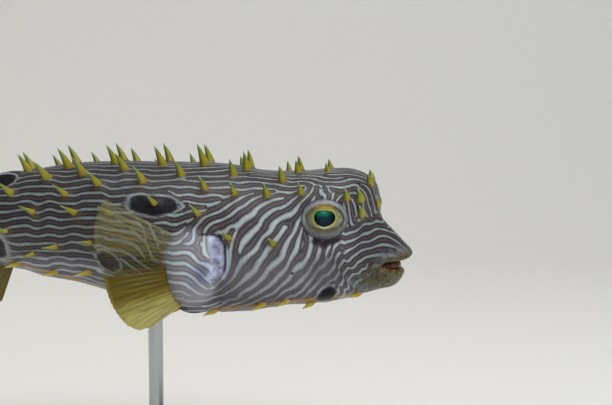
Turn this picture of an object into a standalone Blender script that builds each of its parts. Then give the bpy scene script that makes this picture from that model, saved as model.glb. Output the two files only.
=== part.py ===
# A striped burrfish as a still, life-size model held on a plain display stand.
# +X is forward (the snout), +Z is up, and the right side faces -Y.
# Values below are millimetres; meshes are made in metres.
import math

import bmesh
import bpy
import numpy as np

MM = 0.001
GAP = 0.3

# Where the flesh is divided into nodes, along X
HEAD_END = 17.5
TRUNK_END = -58.0
TAIL_END = -101.0

# Sections of the flesh from the throat to the root of the tail fin. Each has its top (x, z), its
# bottom (x, z), its side (x, half width, z), how square it is above and below, and how its plane folds.
SECTIONS = {
    "gullet": (60.0, 72.1, 59.6, 70.6, 56.5, 3.0, 71.2, 2.0, 2.0, 1.0),
    "gape": (64.4, 72.6, 63.6, 69.2, 57.8, 7.0, 71.2, 2.8, 2.8, 1.0),
    "lip_inside": (67.2, 72.3, 65.2, 68.9, 58.4, 7.9, 71.2, 3.0, 3.0, 1.0),
    "lip_front": (69.1, 73.7, 66.5, 68.0, 59.0, 9.0, 71.0, 2.8, 2.8, 1.1),
    "lip_outside": (68.7, 75.3, 65.8, 66.1, 58.6, 9.8, 70.5, 2.3, 2.3, 1.3),
    "snout": (66.6, 77.6, 64.4, 64.2, 57.0, 10.6, 70.2, 2.1, 2.1, 1.6),
    "muzzle": (63.0, 81.6, 62.0, 62.9, 54.4, 12.2, 71.5, 2.1, 2.2, 1.8),
    "bridge": (59.9, 84.8, 58.6, 62.1, 51.6, 14.4, 73.5, 2.1, 2.2, 2.0),
    "dip": (58.4, 87.2, 55.0, 60.9, 48.8, 16.4, 75.5, 2.2, 2.2, 2.0),
    "forehead": (58.1, 92.2, 51.6, 60.2, 46.2, 18.0, 77.0, 2.4, 2.2, 2.0),
    "brow": (56.4, 97.8, 48.0, 58.9, 43.4, 19.4, 78.0, 2.6, 2.2, 2.0),
    "crown": (50.6, 101.4, 43.0, 57.9, 40.0, 20.4, 78.5, 2.7, 2.2, 2.0),
    "eye": (42.0, 101.9, 37.0, 57.1, 35.0, 21.2, 78.5, 2.6, 2.2, 2.0),
    "cheek": (31.0, 101.1, 29.0, 56.4, 28.5, 22.2, 78.0, 2.5, 2.2, 2.0),
    "nape": (20.0, 101.2, 20.0, 55.0, 20.0, 23.2, 77.5, 2.4, 2.2, 2.0),
    "gill": (8.0, 103.3, 8.0, 53.9, 8.0, 24.0, 77.5, 2.3, 2.2, 2.0),
    "shoulder": (-8.0, 103.9, -8.0, 54.6, -8.0, 23.8, 78.5, 2.3, 2.2, 2.0),
    "flank": (-25.0, 104.2, -25.0, 58.2, -25.0, 22.0, 80.0, 2.3, 2.2, 2.0),
    "loin": (-42.0, 103.5, -42.0, 62.7, -42.0, 18.8, 82.0, 2.3, 2.2, 2.0),
    "vent": (-58.0, 101.4, -58.0, 65.6, -58.0, 14.6, 83.5, 2.2, 2.2, 2.0),
    "fins": (-72.0, 97.3, -72.0, 71.0, -72.0, 9.8, 84.3, 2.1, 2.1, 2.0),
    "peduncle": (-84.0, 91.6, -84.0, 76.8, -84.0, 6.0, 84.2, 2.0, 2.0, 2.0),
    "wrist": (-93.0, 89.3, -93.0, 78.8, -93.0, 4.0, 84.0, 2.0, 2.0, 2.0),
    "tail_root": (-101.0, 90.2, -101.0, 77.6, -101.0, 2.6, 83.9, 2.0, 2.0, 2.0),
}

# Spines of one side in rows, from the tail forwards: the length at the row's two ends, then each
# spine's distance back from the throat along the skin and its degrees round from the back
SPINE_ROWS = {
    "ridge": (7.4, 6.4, ((142.6, 10), (127.5, 17), (111, 14), (95, 15), (81, 12), (67, 10))),
    "crown": (4.8, 3.3, ((51.5, 9), (43.5, 13))),
    "upper": (7.8, 5.6, ((134, 37), (121, 34), (107, 27), (87.5, 32), (70.6, 27), (55, 28))),
    "middle": (7.0, 4.6, ((146.6, 55), (126, 60), (115, 48), (100, 42), (79, 47), (69.5, 49), (59, 47), (48, 48), (33, 48))),
    "side": (6.8, 6.4, ((137.4, 78), (122.4, 76), (109.6, 74), (95, 63), (80.5, 69), (70.6, 84), (56, 88))),
    "lower": (5.0, 5.4, ((148, 99), (138.4, 119), (129.7, 106), (117, 96))),
    "keel": (4.8, 5.2, ((145.5, 146), (131, 140), (118.5, 128))),
    "belly": (5.6, 3.8, ((106, 150), (90, 160), (76.5, 154), (60.6, 147), (52, 146), (43.5, 160), (26, 158))),
    "brow": (5.4, 3.8, ((29.8, 38), (26.4, 43), (25.6, 13), (31.8, 15))),
}
SPINE_RADIUS = 1.6
SPINE_SIDES = 5

HUMP_X, HUMP_REACH, HUMP_HEIGHT, HUMP_WIDTH = -72.5, 10.5, 1.9, 3.4

# How finely the solids are divided
HEAD_SIDES, TRUNK_SIDES, TAIL_SIDES = 40, 38, 30
EYE_SIDES, EYE_ROWS = 20, 12

EYE_RADIUS = 8.0
EYE_CENTRE = (40.8, -15.0, 87.2)
EYE_AXIS = (0.10, -0.99, 0.10)
# Profile of the fold round an eye: distance from the axis, height over the eyeball's centre
EYE_FOLD = ((6.0, 2.6), (6.1, 5.5), (7.0, 6.5), (8.0, 6.2), (9.0, 5.0), (9.2, 2.6))

NOSTRIL_AT = (27.0, 56)
NOSTRIL_FORM = ((1.9, -0.8), (1.7, 0.4), (1.2, 0.75), (0.8, 0.3))

# The fleshy root of the pectoral fin, and the slit of the gill in front of it
ROOT_CENTRE = (-1.8, -20.4, 71.0)
ROOT_RADII = (9.2, 6.6, 13.0)
SLIT_CENTRE = (1.0, 74.2)
SLIT_RADII = (8.7, 11.2)
SLIT_FROM, SLIT_TO = 42, -66
SLIT_WIDTH = 1.1

ROD_X = -18.0
ROD_RADIUS = 2.5
# Foot, shaft and cup of the rod: radius, height over its foot
ROD_PROFILE = ((7.0, 0.0), (7.0, 1.6), (6.2, 2.6), (3.4, 3.4), (ROD_RADIUS, 4.6), (ROD_RADIUS, 44.0), (3.4, 46.0), (3.4, 52.0))
BASE_LENGTH, BASE_WIDTH, BASE_HEIGHT = 118.0, 60.0, 8.0


# The flesh as one surface

ROWS = np.array(list(SECTIONS.values()))
NAMES = list(SECTIONS)
MOVES = np.diff(ROWS[:, :7], axis=0)
STEPS = (
    np.hypot(MOVES[:, 0], MOVES[:, 1])
    + np.hypot(MOVES[:, 2], MOVES[:, 3])
    + np.sqrt(MOVES[:, 4] ** 2 + MOVES[:, 5] ** 2 + MOVES[:, 6] ** 2)
) / 3
KNOTS = np.concatenate([[0.0], np.cumsum(STEPS)])
RATES = np.diff(ROWS, axis=0) / STEPS[:, None]
SLOPES = np.vstack(
    [
        RATES[:1],
        (RATES[:-1] * STEPS[1:, None] + RATES[1:] * STEPS[:-1, None]) / (STEPS[1:] + STEPS[:-1])[:, None],
        RATES[-1:],
    ]
)


def knot(name):
    return KNOTS[NAMES.index(name)]


# Cubic between neighbouring sections, with the slopes of a parabola through three
def section(s):
    s = np.clip(np.asarray(s, float), 0, KNOTS[-1])
    i = np.clip(np.searchsorted(KNOTS, s, side="right") - 1, 0, len(KNOTS) - 2)
    h = (KNOTS[i + 1] - KNOTS[i])[..., None]
    f = (s[..., None] - KNOTS[i][..., None]) / h
    start = (2 * f**3 - 3 * f**2 + 1) * ROWS[i] + (f**3 - 2 * f**2 + f) * h * SLOPES[i]
    return start + (3 * f**2 - 2 * f**3) * ROWS[i + 1] + (f**3 - f**2) * h * SLOPES[i + 1]


# Humps on the midline that the dorsal and the anal fin rise from
def hump(point, t):
    x, y = point[..., 0], point[..., 1]
    along = np.clip(1 - ((x - HUMP_X) / HUMP_REACH) ** 2, 0, None)
    return HUMP_HEIGHT * along * np.exp(-((y / HUMP_WIDTH) ** 2)) * np.where(np.abs(np.cos(t)) > 0.3, 1, 0)


# A point of the skin: s runs back from the throat, t round from the back over the right side
def plain_flesh(s, t):
    s, t = np.broadcast_arrays(np.asarray(s, float), np.asarray(t, float))
    top_x, top_z, low_x, low_z, side_x, half, side_z, above, below, fold = np.moveaxis(section(s), -1, 0)
    c, w = np.cos(t), np.sin(t)
    power = 2 / np.where(c >= 0, above, below)
    reach = np.abs(c) ** power
    z = side_z + (np.where(c >= 0, top_z, low_z) - side_z) * reach
    x = side_x + (np.where(c >= 0, top_x, low_x) - side_x) * np.abs(c) ** fold
    y = -half * np.sign(w) * np.abs(w) ** power
    point = np.stack([x, y, z], -1)
    point[..., 2] += np.sign(c) * hump(point, t)
    return point


def outward(s, t):
    along = plain_flesh(s + 0.05, t) - plain_flesh(s - 0.05, t)
    around = plain_flesh(s, t + 0.002) - plain_flesh(s, t - 0.002)
    normal = np.cross(along, around)
    return normal / (np.linalg.norm(normal, axis=-1, keepdims=True) + 1e-9)


def flesh(s, t, grow=0.0):
    return plain_flesh(s, t) + grow * outward(np.asarray(s, float), np.asarray(t, float))


# Distance along the skin where the sections stand at x, behind the nape
def along_at(x):
    line = np.linspace(knot("cheek"), KNOTS[-1], 4000)
    return float(np.interp(-x, -section(line)[:, 4], line))


# Meshes

def material(name, rgb, roughness):
    made = bpy.data.materials.new(name)
    made.use_nodes = True
    shader = made.node_tree.nodes["Principled BSDF"]
    shader.inputs["Base Color"].default_value = (*rgb, 1.0)
    shader.inputs["Roughness"].default_value = roughness
    made.diffuse_color = (*rgb, 1.0)
    return made


def solid(name, points, faces, finish=None):
    mesh = bpy.data.meshes.new(name)
    mesh.from_pydata([tuple(p * MM) for p in np.asarray(points, float)], [], faces)
    tidy = bmesh.new()
    tidy.from_mesh(mesh)
    bmesh.ops.recalc_face_normals(tidy, faces=tidy.faces)
    tidy.to_mesh(mesh)
    tidy.free()
    made = bpy.data.objects.new(name, mesh)
    bpy.context.scene.collection.objects.link(made)
    if finish:
        mesh.materials.append(finish)
    return made


# Closed skin over a stack of rings, each end shut by a fan to its middle
def loft(name, rings, finish=None):
    rings = np.asarray(rings, float)
    count, around = rings.shape[:2]
    points = list(rings.reshape(-1, 3))
    faces = []
    for i in range(count - 1):
        for j in range(around):
            k = (j + 1) % around
            faces.append((i * around + j, i * around + k, (i + 1) * around + k, (i + 1) * around + j))
    for row in (0, count - 1):
        points.append(rings[row].mean(axis=0))
        middle = len(points) - 1
        for j in range(around):
            faces.append((middle, row * around + j, row * around + (j + 1) % around))
    return solid(name, points, faces, finish)


def frame_of(axis):
    axis = np.asarray(axis, float)
    axis = axis / np.linalg.norm(axis)
    across = np.cross(axis, (0.0, 0.0, 1.0) if abs(axis[2]) < 0.9 else (1.0, 0.0, 0.0))
    across /= np.linalg.norm(across)
    return axis, across, np.cross(axis, across)


# Rings of a profile (radius, height) turned about an axis, stretched by wide and tall
def turned(centre, axis, profile, sides, wide=1.0, tall=1.0):
    axis, across, over = frame_of(axis)
    turn = np.arange(sides) * 2 * math.pi / sides
    ring = np.cos(turn)[:, None] * across * wide + np.sin(turn)[:, None] * over * tall
    return [np.asarray(centre) + axis * height + ring * radius for radius, height in profile]


# Closed ring whose profile doesn't reach its axis
def hoop(name, rings):
    rings = np.asarray(rings, float)
    count, around = rings.shape[:2]
    faces = []
    for i in range(count):
        for j in range(around):
            m, k = (i + 1) % count, (j + 1) % around
            faces.append((i * around + j, i * around + k, m * around + k, m * around + j))
    return solid(name, rings.reshape(-1, 3), faces)


def ball(name, centre, radii, axis=(0, 0, 1), sides=20, rows=10, finish=None):
    turn = np.linspace(0, math.pi, rows + 1)[1:-1]
    profile = [(math.sin(a), math.cos(a)) for a in turn]
    rings = np.asarray(turned((0, 0, 0), axis, profile, sides))
    made = loft(name, rings, finish)
    unit, _, _ = frame_of(axis)
    for vertex in made.data.vertices[-2:]:
        pole = np.sign(np.dot(np.array(vertex.co), unit)) * unit
        vertex.co = pole * MM
    for vertex in made.data.vertices:
        vertex.co = [vertex.co[i] * radii[i] + centre[i] * MM for i in range(3)]
    return made


# Round bar along a path
def bar(name, path, radius, sides=6):
    path = np.asarray(path, float)
    heading = np.gradient(path, axis=0)
    rings = []
    for point, axis in zip(path, heading):
        rings += turned(point, axis, [(radius, 0.0)], sides)
    return loft(name, rings)


# Joins closed meshes to a node, or cuts them from it, and keeps the node's largest closed surface
def combine(node, operation, tools):
    group = bpy.data.collections.new("tools")
    bpy.context.scene.collection.children.link(group)
    for tool in tools:
        tool.hide_render = True
        tool.display_type = "WIRE"
        bpy.context.scene.collection.objects.unlink(tool)
        group.objects.link(tool)
    modifier = node.modifiers.new("combine", "BOOLEAN")
    modifier.operation = operation
    modifier.operand_type = "COLLECTION"
    modifier.collection = group
    modifier.solver = "EXACT"
    bpy.context.view_layer.update()
    graph = bpy.context.evaluated_depsgraph_get()
    made = bpy.data.meshes.new_from_object(node.evaluated_get(graph), depsgraph=graph)
    node.modifiers.remove(modifier)
    finish = node.data.materials[0] if node.data.materials else None
    node.data = made
    made.name = node.name
    made.materials.clear()
    if finish:
        made.materials.append(finish)
    for tool in tools:
        bpy.data.objects.remove(tool)
    bpy.data.collections.remove(group)
    keep_largest(node)


def keep_largest(node):
    work = bmesh.new()
    work.from_mesh(node.data)
    bmesh.ops.triangulate(work, faces=work.faces)
    work.verts.ensure_lookup_table()
    left = set(range(len(work.verts)))
    groups = []
    while left:
        stack = [left.pop()]
        group = set(stack)
        while stack:
            for edge in work.verts[stack.pop()].link_edges:
                for vertex in edge.verts:
                    if vertex.index in left:
                        left.discard(vertex.index)
                        group.add(vertex.index)
                        stack.append(vertex.index)
        groups.append(group)
    largest = max(groups, key=len)
    extra = [vertex for vertex in work.verts if vertex.index not in largest]
    if extra:
        bmesh.ops.delete(work, geom=extra, context="VERTS")
    for face in work.faces:
        face.material_index = 0
    work.to_mesh(node.data)
    work.free()


# Flesh between two distances along the skin, as rings of equal steps
def flesh_rings(stations, around, grow=0.0):
    turn = np.arange(around) * 2 * math.pi / around
    return flesh(np.asarray(stations)[:, None], turn[None, :], grow)


# Spines stand out from the skin, lean to the tail and rise; the lean grows towards the tail
def spine_heading(s, t, side):
    point = plain_flesh(s, t)
    lean = float(np.interp(point[0], (-30, 0, 32, 46, 56), (0.46, 0.32, 0.06, 0.2, 0.6)))
    rise = 0.55 * min(max((2.3 - t) / 1.4, 0.0), 1.0)
    heading = 0.62 * outward(np.float64(s), np.float64(t)) + np.array([-lean, 0.0, rise])
    if t > 2.2:
        heading = heading + np.array([-0.8, 0.0, 0.0])
    heading /= np.linalg.norm(heading)
    return point * (1, side, 1), heading * (1, side, 1)


def spine(s, degrees, length, side):
    point, heading = spine_heading(s, math.radians(degrees), side)
    bend = np.array([-0.09 * length, 0.0, 0.0])
    stages = (
        (-1.1, SPINE_RADIUS * 1.12, 0.0),
        (0.30 * length, SPINE_RADIUS * 0.62, 0.0),
        (0.97 * length, 0.16, 1.0),
    )
    rings = []
    for distance, radius, bent in stages:
        rings += turned(point + heading * distance + bend * bent, heading, [(radius, 0.0)], SPINE_SIDES)
    return loft("spine", rings)


def spines_between(first, last):
    found = []
    for rear, front, places in SPINE_ROWS.values():
        lengths = np.linspace(rear, front, len(places))
        for (s, degrees), length in zip(places, lengths):
            if last < plain_flesh(s, math.radians(degrees))[0] < first:
                found += [spine(s, degrees, length, side) for side in (1, -1)]
    return found


# A fin is a thin plate over a surface of two parameters: u across the rays, v along them. Each ray is
# a ridge raised in both of its faces, and it ends a little past the skin between rays.
def fin(name, surface, rays, rows, thickness, ridge, finish):
    columns = 2 * rays + 1
    u = np.linspace(0, 1, columns)[:, None]
    on_ray = (np.arange(columns) % 2 == 1)[:, None]
    v = np.linspace(0, 1, rows + 1)[None, :]
    reach = v * np.where(on_ray, 1.0, 1 - 0.035 * v)
    middle = surface(u, reach)
    across = np.gradient(middle, axis=0)
    along = np.gradient(middle, axis=1)
    normal = np.cross(across, along)
    normal /= np.linalg.norm(normal, axis=-1, keepdims=True)
    half = thickness(v) / 2 + np.where(on_ray, ridge, 0.0) * (1 - 0.6 * v)
    front = middle + normal * half[..., None]
    back = middle - normal * half[..., None]
    points = np.concatenate([front.reshape(-1, 3), back.reshape(-1, 3)])
    total = columns * (rows + 1)

    def at(i, j, face):
        return face * total + i * (rows + 1) + j

    faces = []
    for i in range(columns - 1):
        for j in range(rows):
            for face in (0, 1):
                a, b, c, d = (at(i, j, face), at(i + 1, j, face), at(i + 1, j + 1, face), at(i, j + 1, face))
                faces += [(a, b, c), (a, c, d)]
    for i in range(columns - 1):
        for j in (0, rows):
            faces.append((at(i, j, 0), at(i + 1, j, 0), at(i + 1, j, 1), at(i, j, 1)))
    for j in range(rows):
        for i in (0, columns - 1):
            faces.append((at(i, j, 0), at(i, j + 1, 0), at(i, j + 1, 1), at(i, j, 1)))
    return solid(name, points, faces, finish)


def mix(a, b, k):
    return a + (b - a) * k


def smooth(k):
    k = np.clip(k, 0, 1)
    return k * k * (3 - 2 * k)


# Pectoral fin: a fan from the rear of its root, held back along the flank. Angles are from -X, up positive.
def pectoral(u, v, side):
    u, v = np.broadcast_arrays(u, v)
    root = np.radians(mix(66.0, -80.0, u))
    tip = np.radians(mix(40.5, -57.0, u))
    reach = np.interp(u, (0, 0.16, 0.32, 0.5, 0.7, 0.84, 0.93, 1), (35.4, 33.2, 29.2, 26.8, 26.8, 26.6, 25.2, 21.4))
    x = mix(-1.6 - 8.2 * np.cos(root), -1.5 - reach * np.cos(tip), v)
    z = mix(71.2 + 11.2 * np.sin(root), 71.5 + reach * np.sin(tip), v)
    start = 22.6 - 3.4 * smooth((u - 0.55) / 0.45)
    end = 29.5 + 2.2 * np.sin(math.pi * u)
    y = mix(start, end, v**0.8) + 0.9 * np.sin(math.pi * v) * np.cos(3 * math.pi * u)
    return np.stack([x, -y * side, z], -1)


# Dorsal fin: rays fan from the hump, the first one steep and the last one nearly level
def dorsal(u, v):
    u, v = np.broadcast_arrays(u, v)
    slant = np.radians(mix(36.0, 82.0, u))
    height = 17.5 * (0.72 + 0.28 * np.sin(math.pi * np.clip(u * 0.9 + 0.1, 0, 1))) * (1 - 0.34 * smooth((u - 0.45) / 0.55))
    x = mix(-69.5, -81.5, u) - (height + 3.0) * v * np.sin(slant)
    z = mix(98.2, 91.0, u) - 1.0 + (height + 3.0) * v * np.cos(slant)
    y = 0.9 * np.sin(2.4 * v) * np.sin(2.2 * math.pi * u)
    return np.stack([x, y, z], -1)


# Anal fin: the same below, a little shorter
def anal(u, v):
    u, v = np.broadcast_arrays(u, v)
    slant = np.radians(mix(20.0, 78.0, u))
    height = 16.0 * (0.74 + 0.26 * np.sin(math.pi * np.clip(u * 0.9 + 0.1, 0, 1))) * (1 - 0.32 * smooth((u - 0.45) / 0.55))
    x = mix(-66.0, -78.5, u) - (height + 3.0) * v * np.sin(slant)
    z = mix(69.4, 75.0, u) + 1.0 - (height + 3.0) * v * np.cos(slant)
    y = -0.8 * np.sin(2.4 * v) * np.sin(2.0 * math.pi * u)
    return np.stack([x, y, z], -1)


# Tail fin: a rounded fan
def caudal(u, v):
    u, v = np.broadcast_arrays(u, v)
    spread = np.radians(mix(27.0, -27.0, u))
    root = mix(5.6, -5.6, u)
    length = 29.0 * (1 - 0.16 * np.abs(2 * u - 1) ** 2.4)
    x = TAIL_END - GAP - length * v * np.cos(spread * v**0.5)
    z = 83.9 + root + length * v * np.sin(spread)
    y = 1.1 * np.sin(math.pi * v * 0.8) * np.sin(1.5 * math.pi * (u - 0.5)) * v
    return np.stack([x, y, z], -1)


def plate_thickness(root, edge, fall):
    return lambda v: edge + (root - edge) * np.exp(-v / fall)


# Gill slit: a bar along a crescent on the skin, cut away
def gill_bar(side):
    turn = np.radians(np.linspace(SLIT_FROM, SLIT_TO, 9))
    path = []
    for angle in turn:
        x = SLIT_CENTRE[0] + SLIT_RADII[0] * math.cos(angle)
        z = SLIT_CENTRE[1] + SLIT_RADII[1] * math.sin(angle)
        s = along_at(x)
        row = section(np.float64(s))
        limit = row[1] if z > row[6] else row[3]
        power = row[7] if z > row[6] else row[8]
        c = abs((z - row[6]) / (limit - row[6])) ** (power / 2)
        y = row[5] * (1 - c * c) ** (1 / power)
        path.append((x, -side * (y + 0.1), z))
    return bar("slit", path, SLIT_WIDTH)


# Rounded plate of the stand
def rounded_plate(name, length, width, height, finish):
    around = 44
    turn = np.arange(around) * 2 * math.pi / around
    c, w = np.cos(turn), np.sin(turn)

    def ring(inset, z):
        x = (length / 2 - inset) * np.sign(c) * np.abs(c) ** 0.32
        y = (width / 2 - inset) * np.sign(w) * np.abs(w) ** 0.32
        return np.stack([x, y, np.full(around, z)], -1)

    rings = [ring(0.8, 0.0), ring(0.0, 0.8), ring(0.0, height - 2.0)]
    rings += [ring(0.6, height - 0.6), ring(2.0, height), ring(16.0, height)]
    return loft(name, rings, finish)


# The object

for old in list(bpy.data.objects):
    bpy.data.objects.remove(old)

SKIN = material("flesh", (0.27, 0.22, 0.20), 0.5)
FIN = material("fin", (0.42, 0.34, 0.06), 0.5)
IRIS = material("eyeball", (0.03, 0.12, 0.08), 0.15)
STAND = material("painted_stand", (0.055, 0.058, 0.062), 0.45)
STEEL = material("rod_metal", (0.55, 0.56, 0.57), 0.3)

head_stations = np.concatenate(
    [
        np.linspace(0, knot("lip_front"), 5),
        np.linspace(knot("lip_front"), knot("eye"), 15)[1:],
        np.linspace(knot("eye"), along_at(HEAD_END + GAP / 2), 10)[1:],
    ]
)
head = loft("head", flesh_rings(head_stations, HEAD_SIDES), SKIN)
trunk_stations = np.linspace(along_at(HEAD_END - GAP / 2), along_at(TRUNK_END + GAP / 2), 23)
trunk = loft("trunk", flesh_rings(trunk_stations, TRUNK_SIDES), SKIN)
tail_stations = np.linspace(along_at(TRUNK_END - GAP / 2), KNOTS[-1], 15)
tail = loft("tail", flesh_rings(tail_stations, TAIL_SIDES), SKIN)

folds, nostrils, sockets = [], [], []
for side in (1, -1):
    centre = np.array(EYE_CENTRE) * (1, side, 1)
    axis = np.array(EYE_AXIS) * (1, side, 1)
    folds.append(hoop("fold", turned(centre, axis, EYE_FOLD, EYE_SIDES, 1.0, 0.9)))
    sockets.append(ball("socket", centre, (EYE_RADIUS + GAP,) * 3, axis, EYE_SIDES, EYE_ROWS))
    s, t = NOSTRIL_AT[0], math.radians(NOSTRIL_AT[1])
    place = plain_flesh(s, t) * (1, side, 1)
    nostrils.append(loft("nostril", turned(place, outward(np.float64(s), np.float64(t)) * (1, side, 1), NOSTRIL_FORM, 10)))
combine(head, "UNION", folds + nostrils + spines_between(80, HEAD_END))
combine(head, "DIFFERENCE", sockets)

roots, slits = [], []
for side in (1, -1):
    roots.append(ball("root", np.array(ROOT_CENTRE) * (1, side, 1), ROOT_RADII, (0, 0, 1), 18, 12))
    slits.append(gill_bar(side))
combine(trunk, "DIFFERENCE", slits)
combine(trunk, "UNION", roots + spines_between(HEAD_END, TRUNK_END))
combine(tail, "UNION", spines_between(TRUNK_END, -100))

for name, side in (("eye_right", 1), ("eye_left", -1)):
    ball(name, np.array(EYE_CENTRE) * (1, side, 1), (EYE_RADIUS,) * 3, np.array(EYE_AXIS) * (1, side, 1), EYE_SIDES, EYE_ROWS, IRIS)

for name, side in (("pectoral_fin_right", 1), ("pectoral_fin_left", -1)):
    made = fin(name, lambda u, v, side=side: pectoral(u, v, side), 14, 8, plate_thickness(1.6, 0.75, 0.12), 0.28, FIN)
    grown = np.array(ROOT_RADII) + GAP
    cutters = [
        loft("clear", flesh_rings(trunk_stations, TRUNK_SIDES, GAP)),
        ball("clear", np.array(ROOT_CENTRE) * (1, side, 1), grown, (0, 0, 1), 18, 12),
    ]
    combine(made, "DIFFERENCE", cutters)

for name, surface, rays in (("dorsal_fin", dorsal, 11), ("anal_fin", anal, 9)):
    made = fin(name, surface, rays, 6, plate_thickness(2.6, 0.7, 0.16), 0.26, FIN)
    combine(made, "DIFFERENCE", [loft("clear", flesh_rings(tail_stations, TAIL_SIDES, GAP))])
fin("caudal_fin", caudal, 9, 8, plate_thickness(3.8, 0.75, 0.1), 0.28, FIN)

rounded_plate("stand_base", BASE_LENGTH, BASE_WIDTH, BASE_HEIGHT, STAND)
rod = loft("stand_rod", turned((ROD_X, 0, BASE_HEIGHT + GAP), (0, 0, 1), ROD_PROFILE, 24), STEEL)
combine(rod, "DIFFERENCE", [loft("clear", flesh_rings(trunk_stations, TRUNK_SIDES, GAP))])
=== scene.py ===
import math

import bpy
import numpy as np
from mathutils import Matrix, Vector


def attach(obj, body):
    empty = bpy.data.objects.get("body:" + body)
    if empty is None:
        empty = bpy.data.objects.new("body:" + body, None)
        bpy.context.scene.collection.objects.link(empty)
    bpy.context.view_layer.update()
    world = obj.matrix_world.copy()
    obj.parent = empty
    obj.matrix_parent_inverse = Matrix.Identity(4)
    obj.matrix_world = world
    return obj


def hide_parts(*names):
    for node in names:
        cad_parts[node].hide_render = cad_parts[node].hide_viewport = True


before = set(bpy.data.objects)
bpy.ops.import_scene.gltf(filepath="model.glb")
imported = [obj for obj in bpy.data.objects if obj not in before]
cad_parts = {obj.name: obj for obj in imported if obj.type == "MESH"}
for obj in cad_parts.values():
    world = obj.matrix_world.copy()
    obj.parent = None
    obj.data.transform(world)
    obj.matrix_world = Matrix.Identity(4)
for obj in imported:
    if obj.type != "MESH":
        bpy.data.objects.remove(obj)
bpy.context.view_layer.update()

# A striped burrfish as a museum model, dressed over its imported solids. Shapes are worked out in
# millimetres and put into meshes in metres. The right side faces -Y, the snout points to +X.
mm = 0.001
tau = 2 * math.pi

camera = {
    "lens": 85.0,             # mm, on a sensor 36 mm wide
    "sensor": 36.0,
    "azimuth": 5.0,           # degrees from a square side view, towards the head
    "elevation": 6.0,
    "target": (33.5, 0.0, 90.6),
    "distance": 484.0,
    "picture": (612, 405),    # the photograph's frame, in pixels
}


def cameraAxes():
    # where the camera stands, and its right, up and backward directions
    a = math.radians(camera["azimuth"])
    e = math.radians(camera["elevation"])
    back = np.array([math.sin(a) * math.cos(e), -math.cos(a) * math.cos(e), math.sin(e)])
    right = np.array([math.cos(a), math.sin(a), 0.0])
    return np.array(camera["target"]) + back * camera["distance"], right, np.cross(back, right), back


def inPicture(points):
    # pixel = centre + focal length * sideways offset / depth, for points in millimetres
    place, right, up, back = cameraAxes()
    wide, high = camera["picture"]
    focal = camera["lens"] / camera["sensor"] * wide
    offset = points - place
    depth = -(offset @ back)
    return np.stack([wide / 2 + focal * (offset @ right) / depth,
                     high / 2 - focal * (offset @ up) / depth], -1)


def placeCamera():
    place, right, up, back = cameraAxes()
    data = bpy.data.cameras.new("camera")
    data.lens = camera["lens"]
    data.sensor_width = camera["sensor"]
    data.clip_start = 0.01
    made = bpy.data.objects.new("camera", data)
    bpy.context.scene.collection.objects.link(made)
    turn = Matrix([list(right), list(up), list(back)]).transposed()
    made.matrix_world = Matrix.Translation(Vector(place * mm)) @ turn.to_4x4()
    bpy.context.scene.camera = made


placeCamera()


# Materials. Each is built from one function that adds a node with its settings and links

def linear(code, alpha=1.0):
    # sRGB hex to linear: c / 12.92 below 0.04045, ((c + 0.055) / 1.055) ** 2.4 above
    parts = [int(code[i:i + 2], 16) / 255 for i in (1, 3, 5)]
    return tuple(c / 12.92 if c <= 0.04045 else ((c + 0.055) / 1.055) ** 2.4 for c in parts) + (alpha,)


def perMetre(size):
    # a texture's scale, for features of this many millimetres
    return 1000 / size


def fill(tree, node, inputs):
    # an output of another node is linked to the input, and anything else is the input's own value
    for key, value in inputs.items():
        if isinstance(value, bpy.types.NodeSocket):
            tree.links.new(value, node.inputs[key])
        else:
            node.inputs[key].default_value = value


def addNode(tree, kind, inputs=None, stops=None, out=0, **settings):
    # the stops are a ramp's colours by their position; what comes back is one of the node's outputs
    made = tree.nodes.new("ShaderNode" + kind)
    for name, value in settings.items():
        setattr(made, name, value)
    if stops:
        points = made.color_ramp.elements
        while len(points) < len(stops):
            points.new(0.5)
        for point, (position, colour) in zip(points, stops.items()):
            point.position = position
            point.color = linear(colour)
    fill(tree, made, inputs or {})
    return made.outputs[out]


def newMaterial(name, grains, attributes=()):
    # a material, its tree and shader, the place on the object, and what its patterns read: the mesh's
    # attributes, and noise with the size of its features in mm and its detail
    made = bpy.data.materials.new(name)
    made.use_nodes = True
    tree = made.node_tree
    place = addNode(tree, "TexCoord", out="Object")
    read = {label: addNode(tree, "Attribute", out="Fac", attribute_name=label) for label in attributes}
    for label, (size, detail) in grains.items():
        read[label] = addNode(tree, "TexNoise", {"Vector": place, "Scale": perMetre(size), "Detail": detail})
    return made, tree, tree.nodes["Principled BSDF"], place, read


# Meshes

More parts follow.
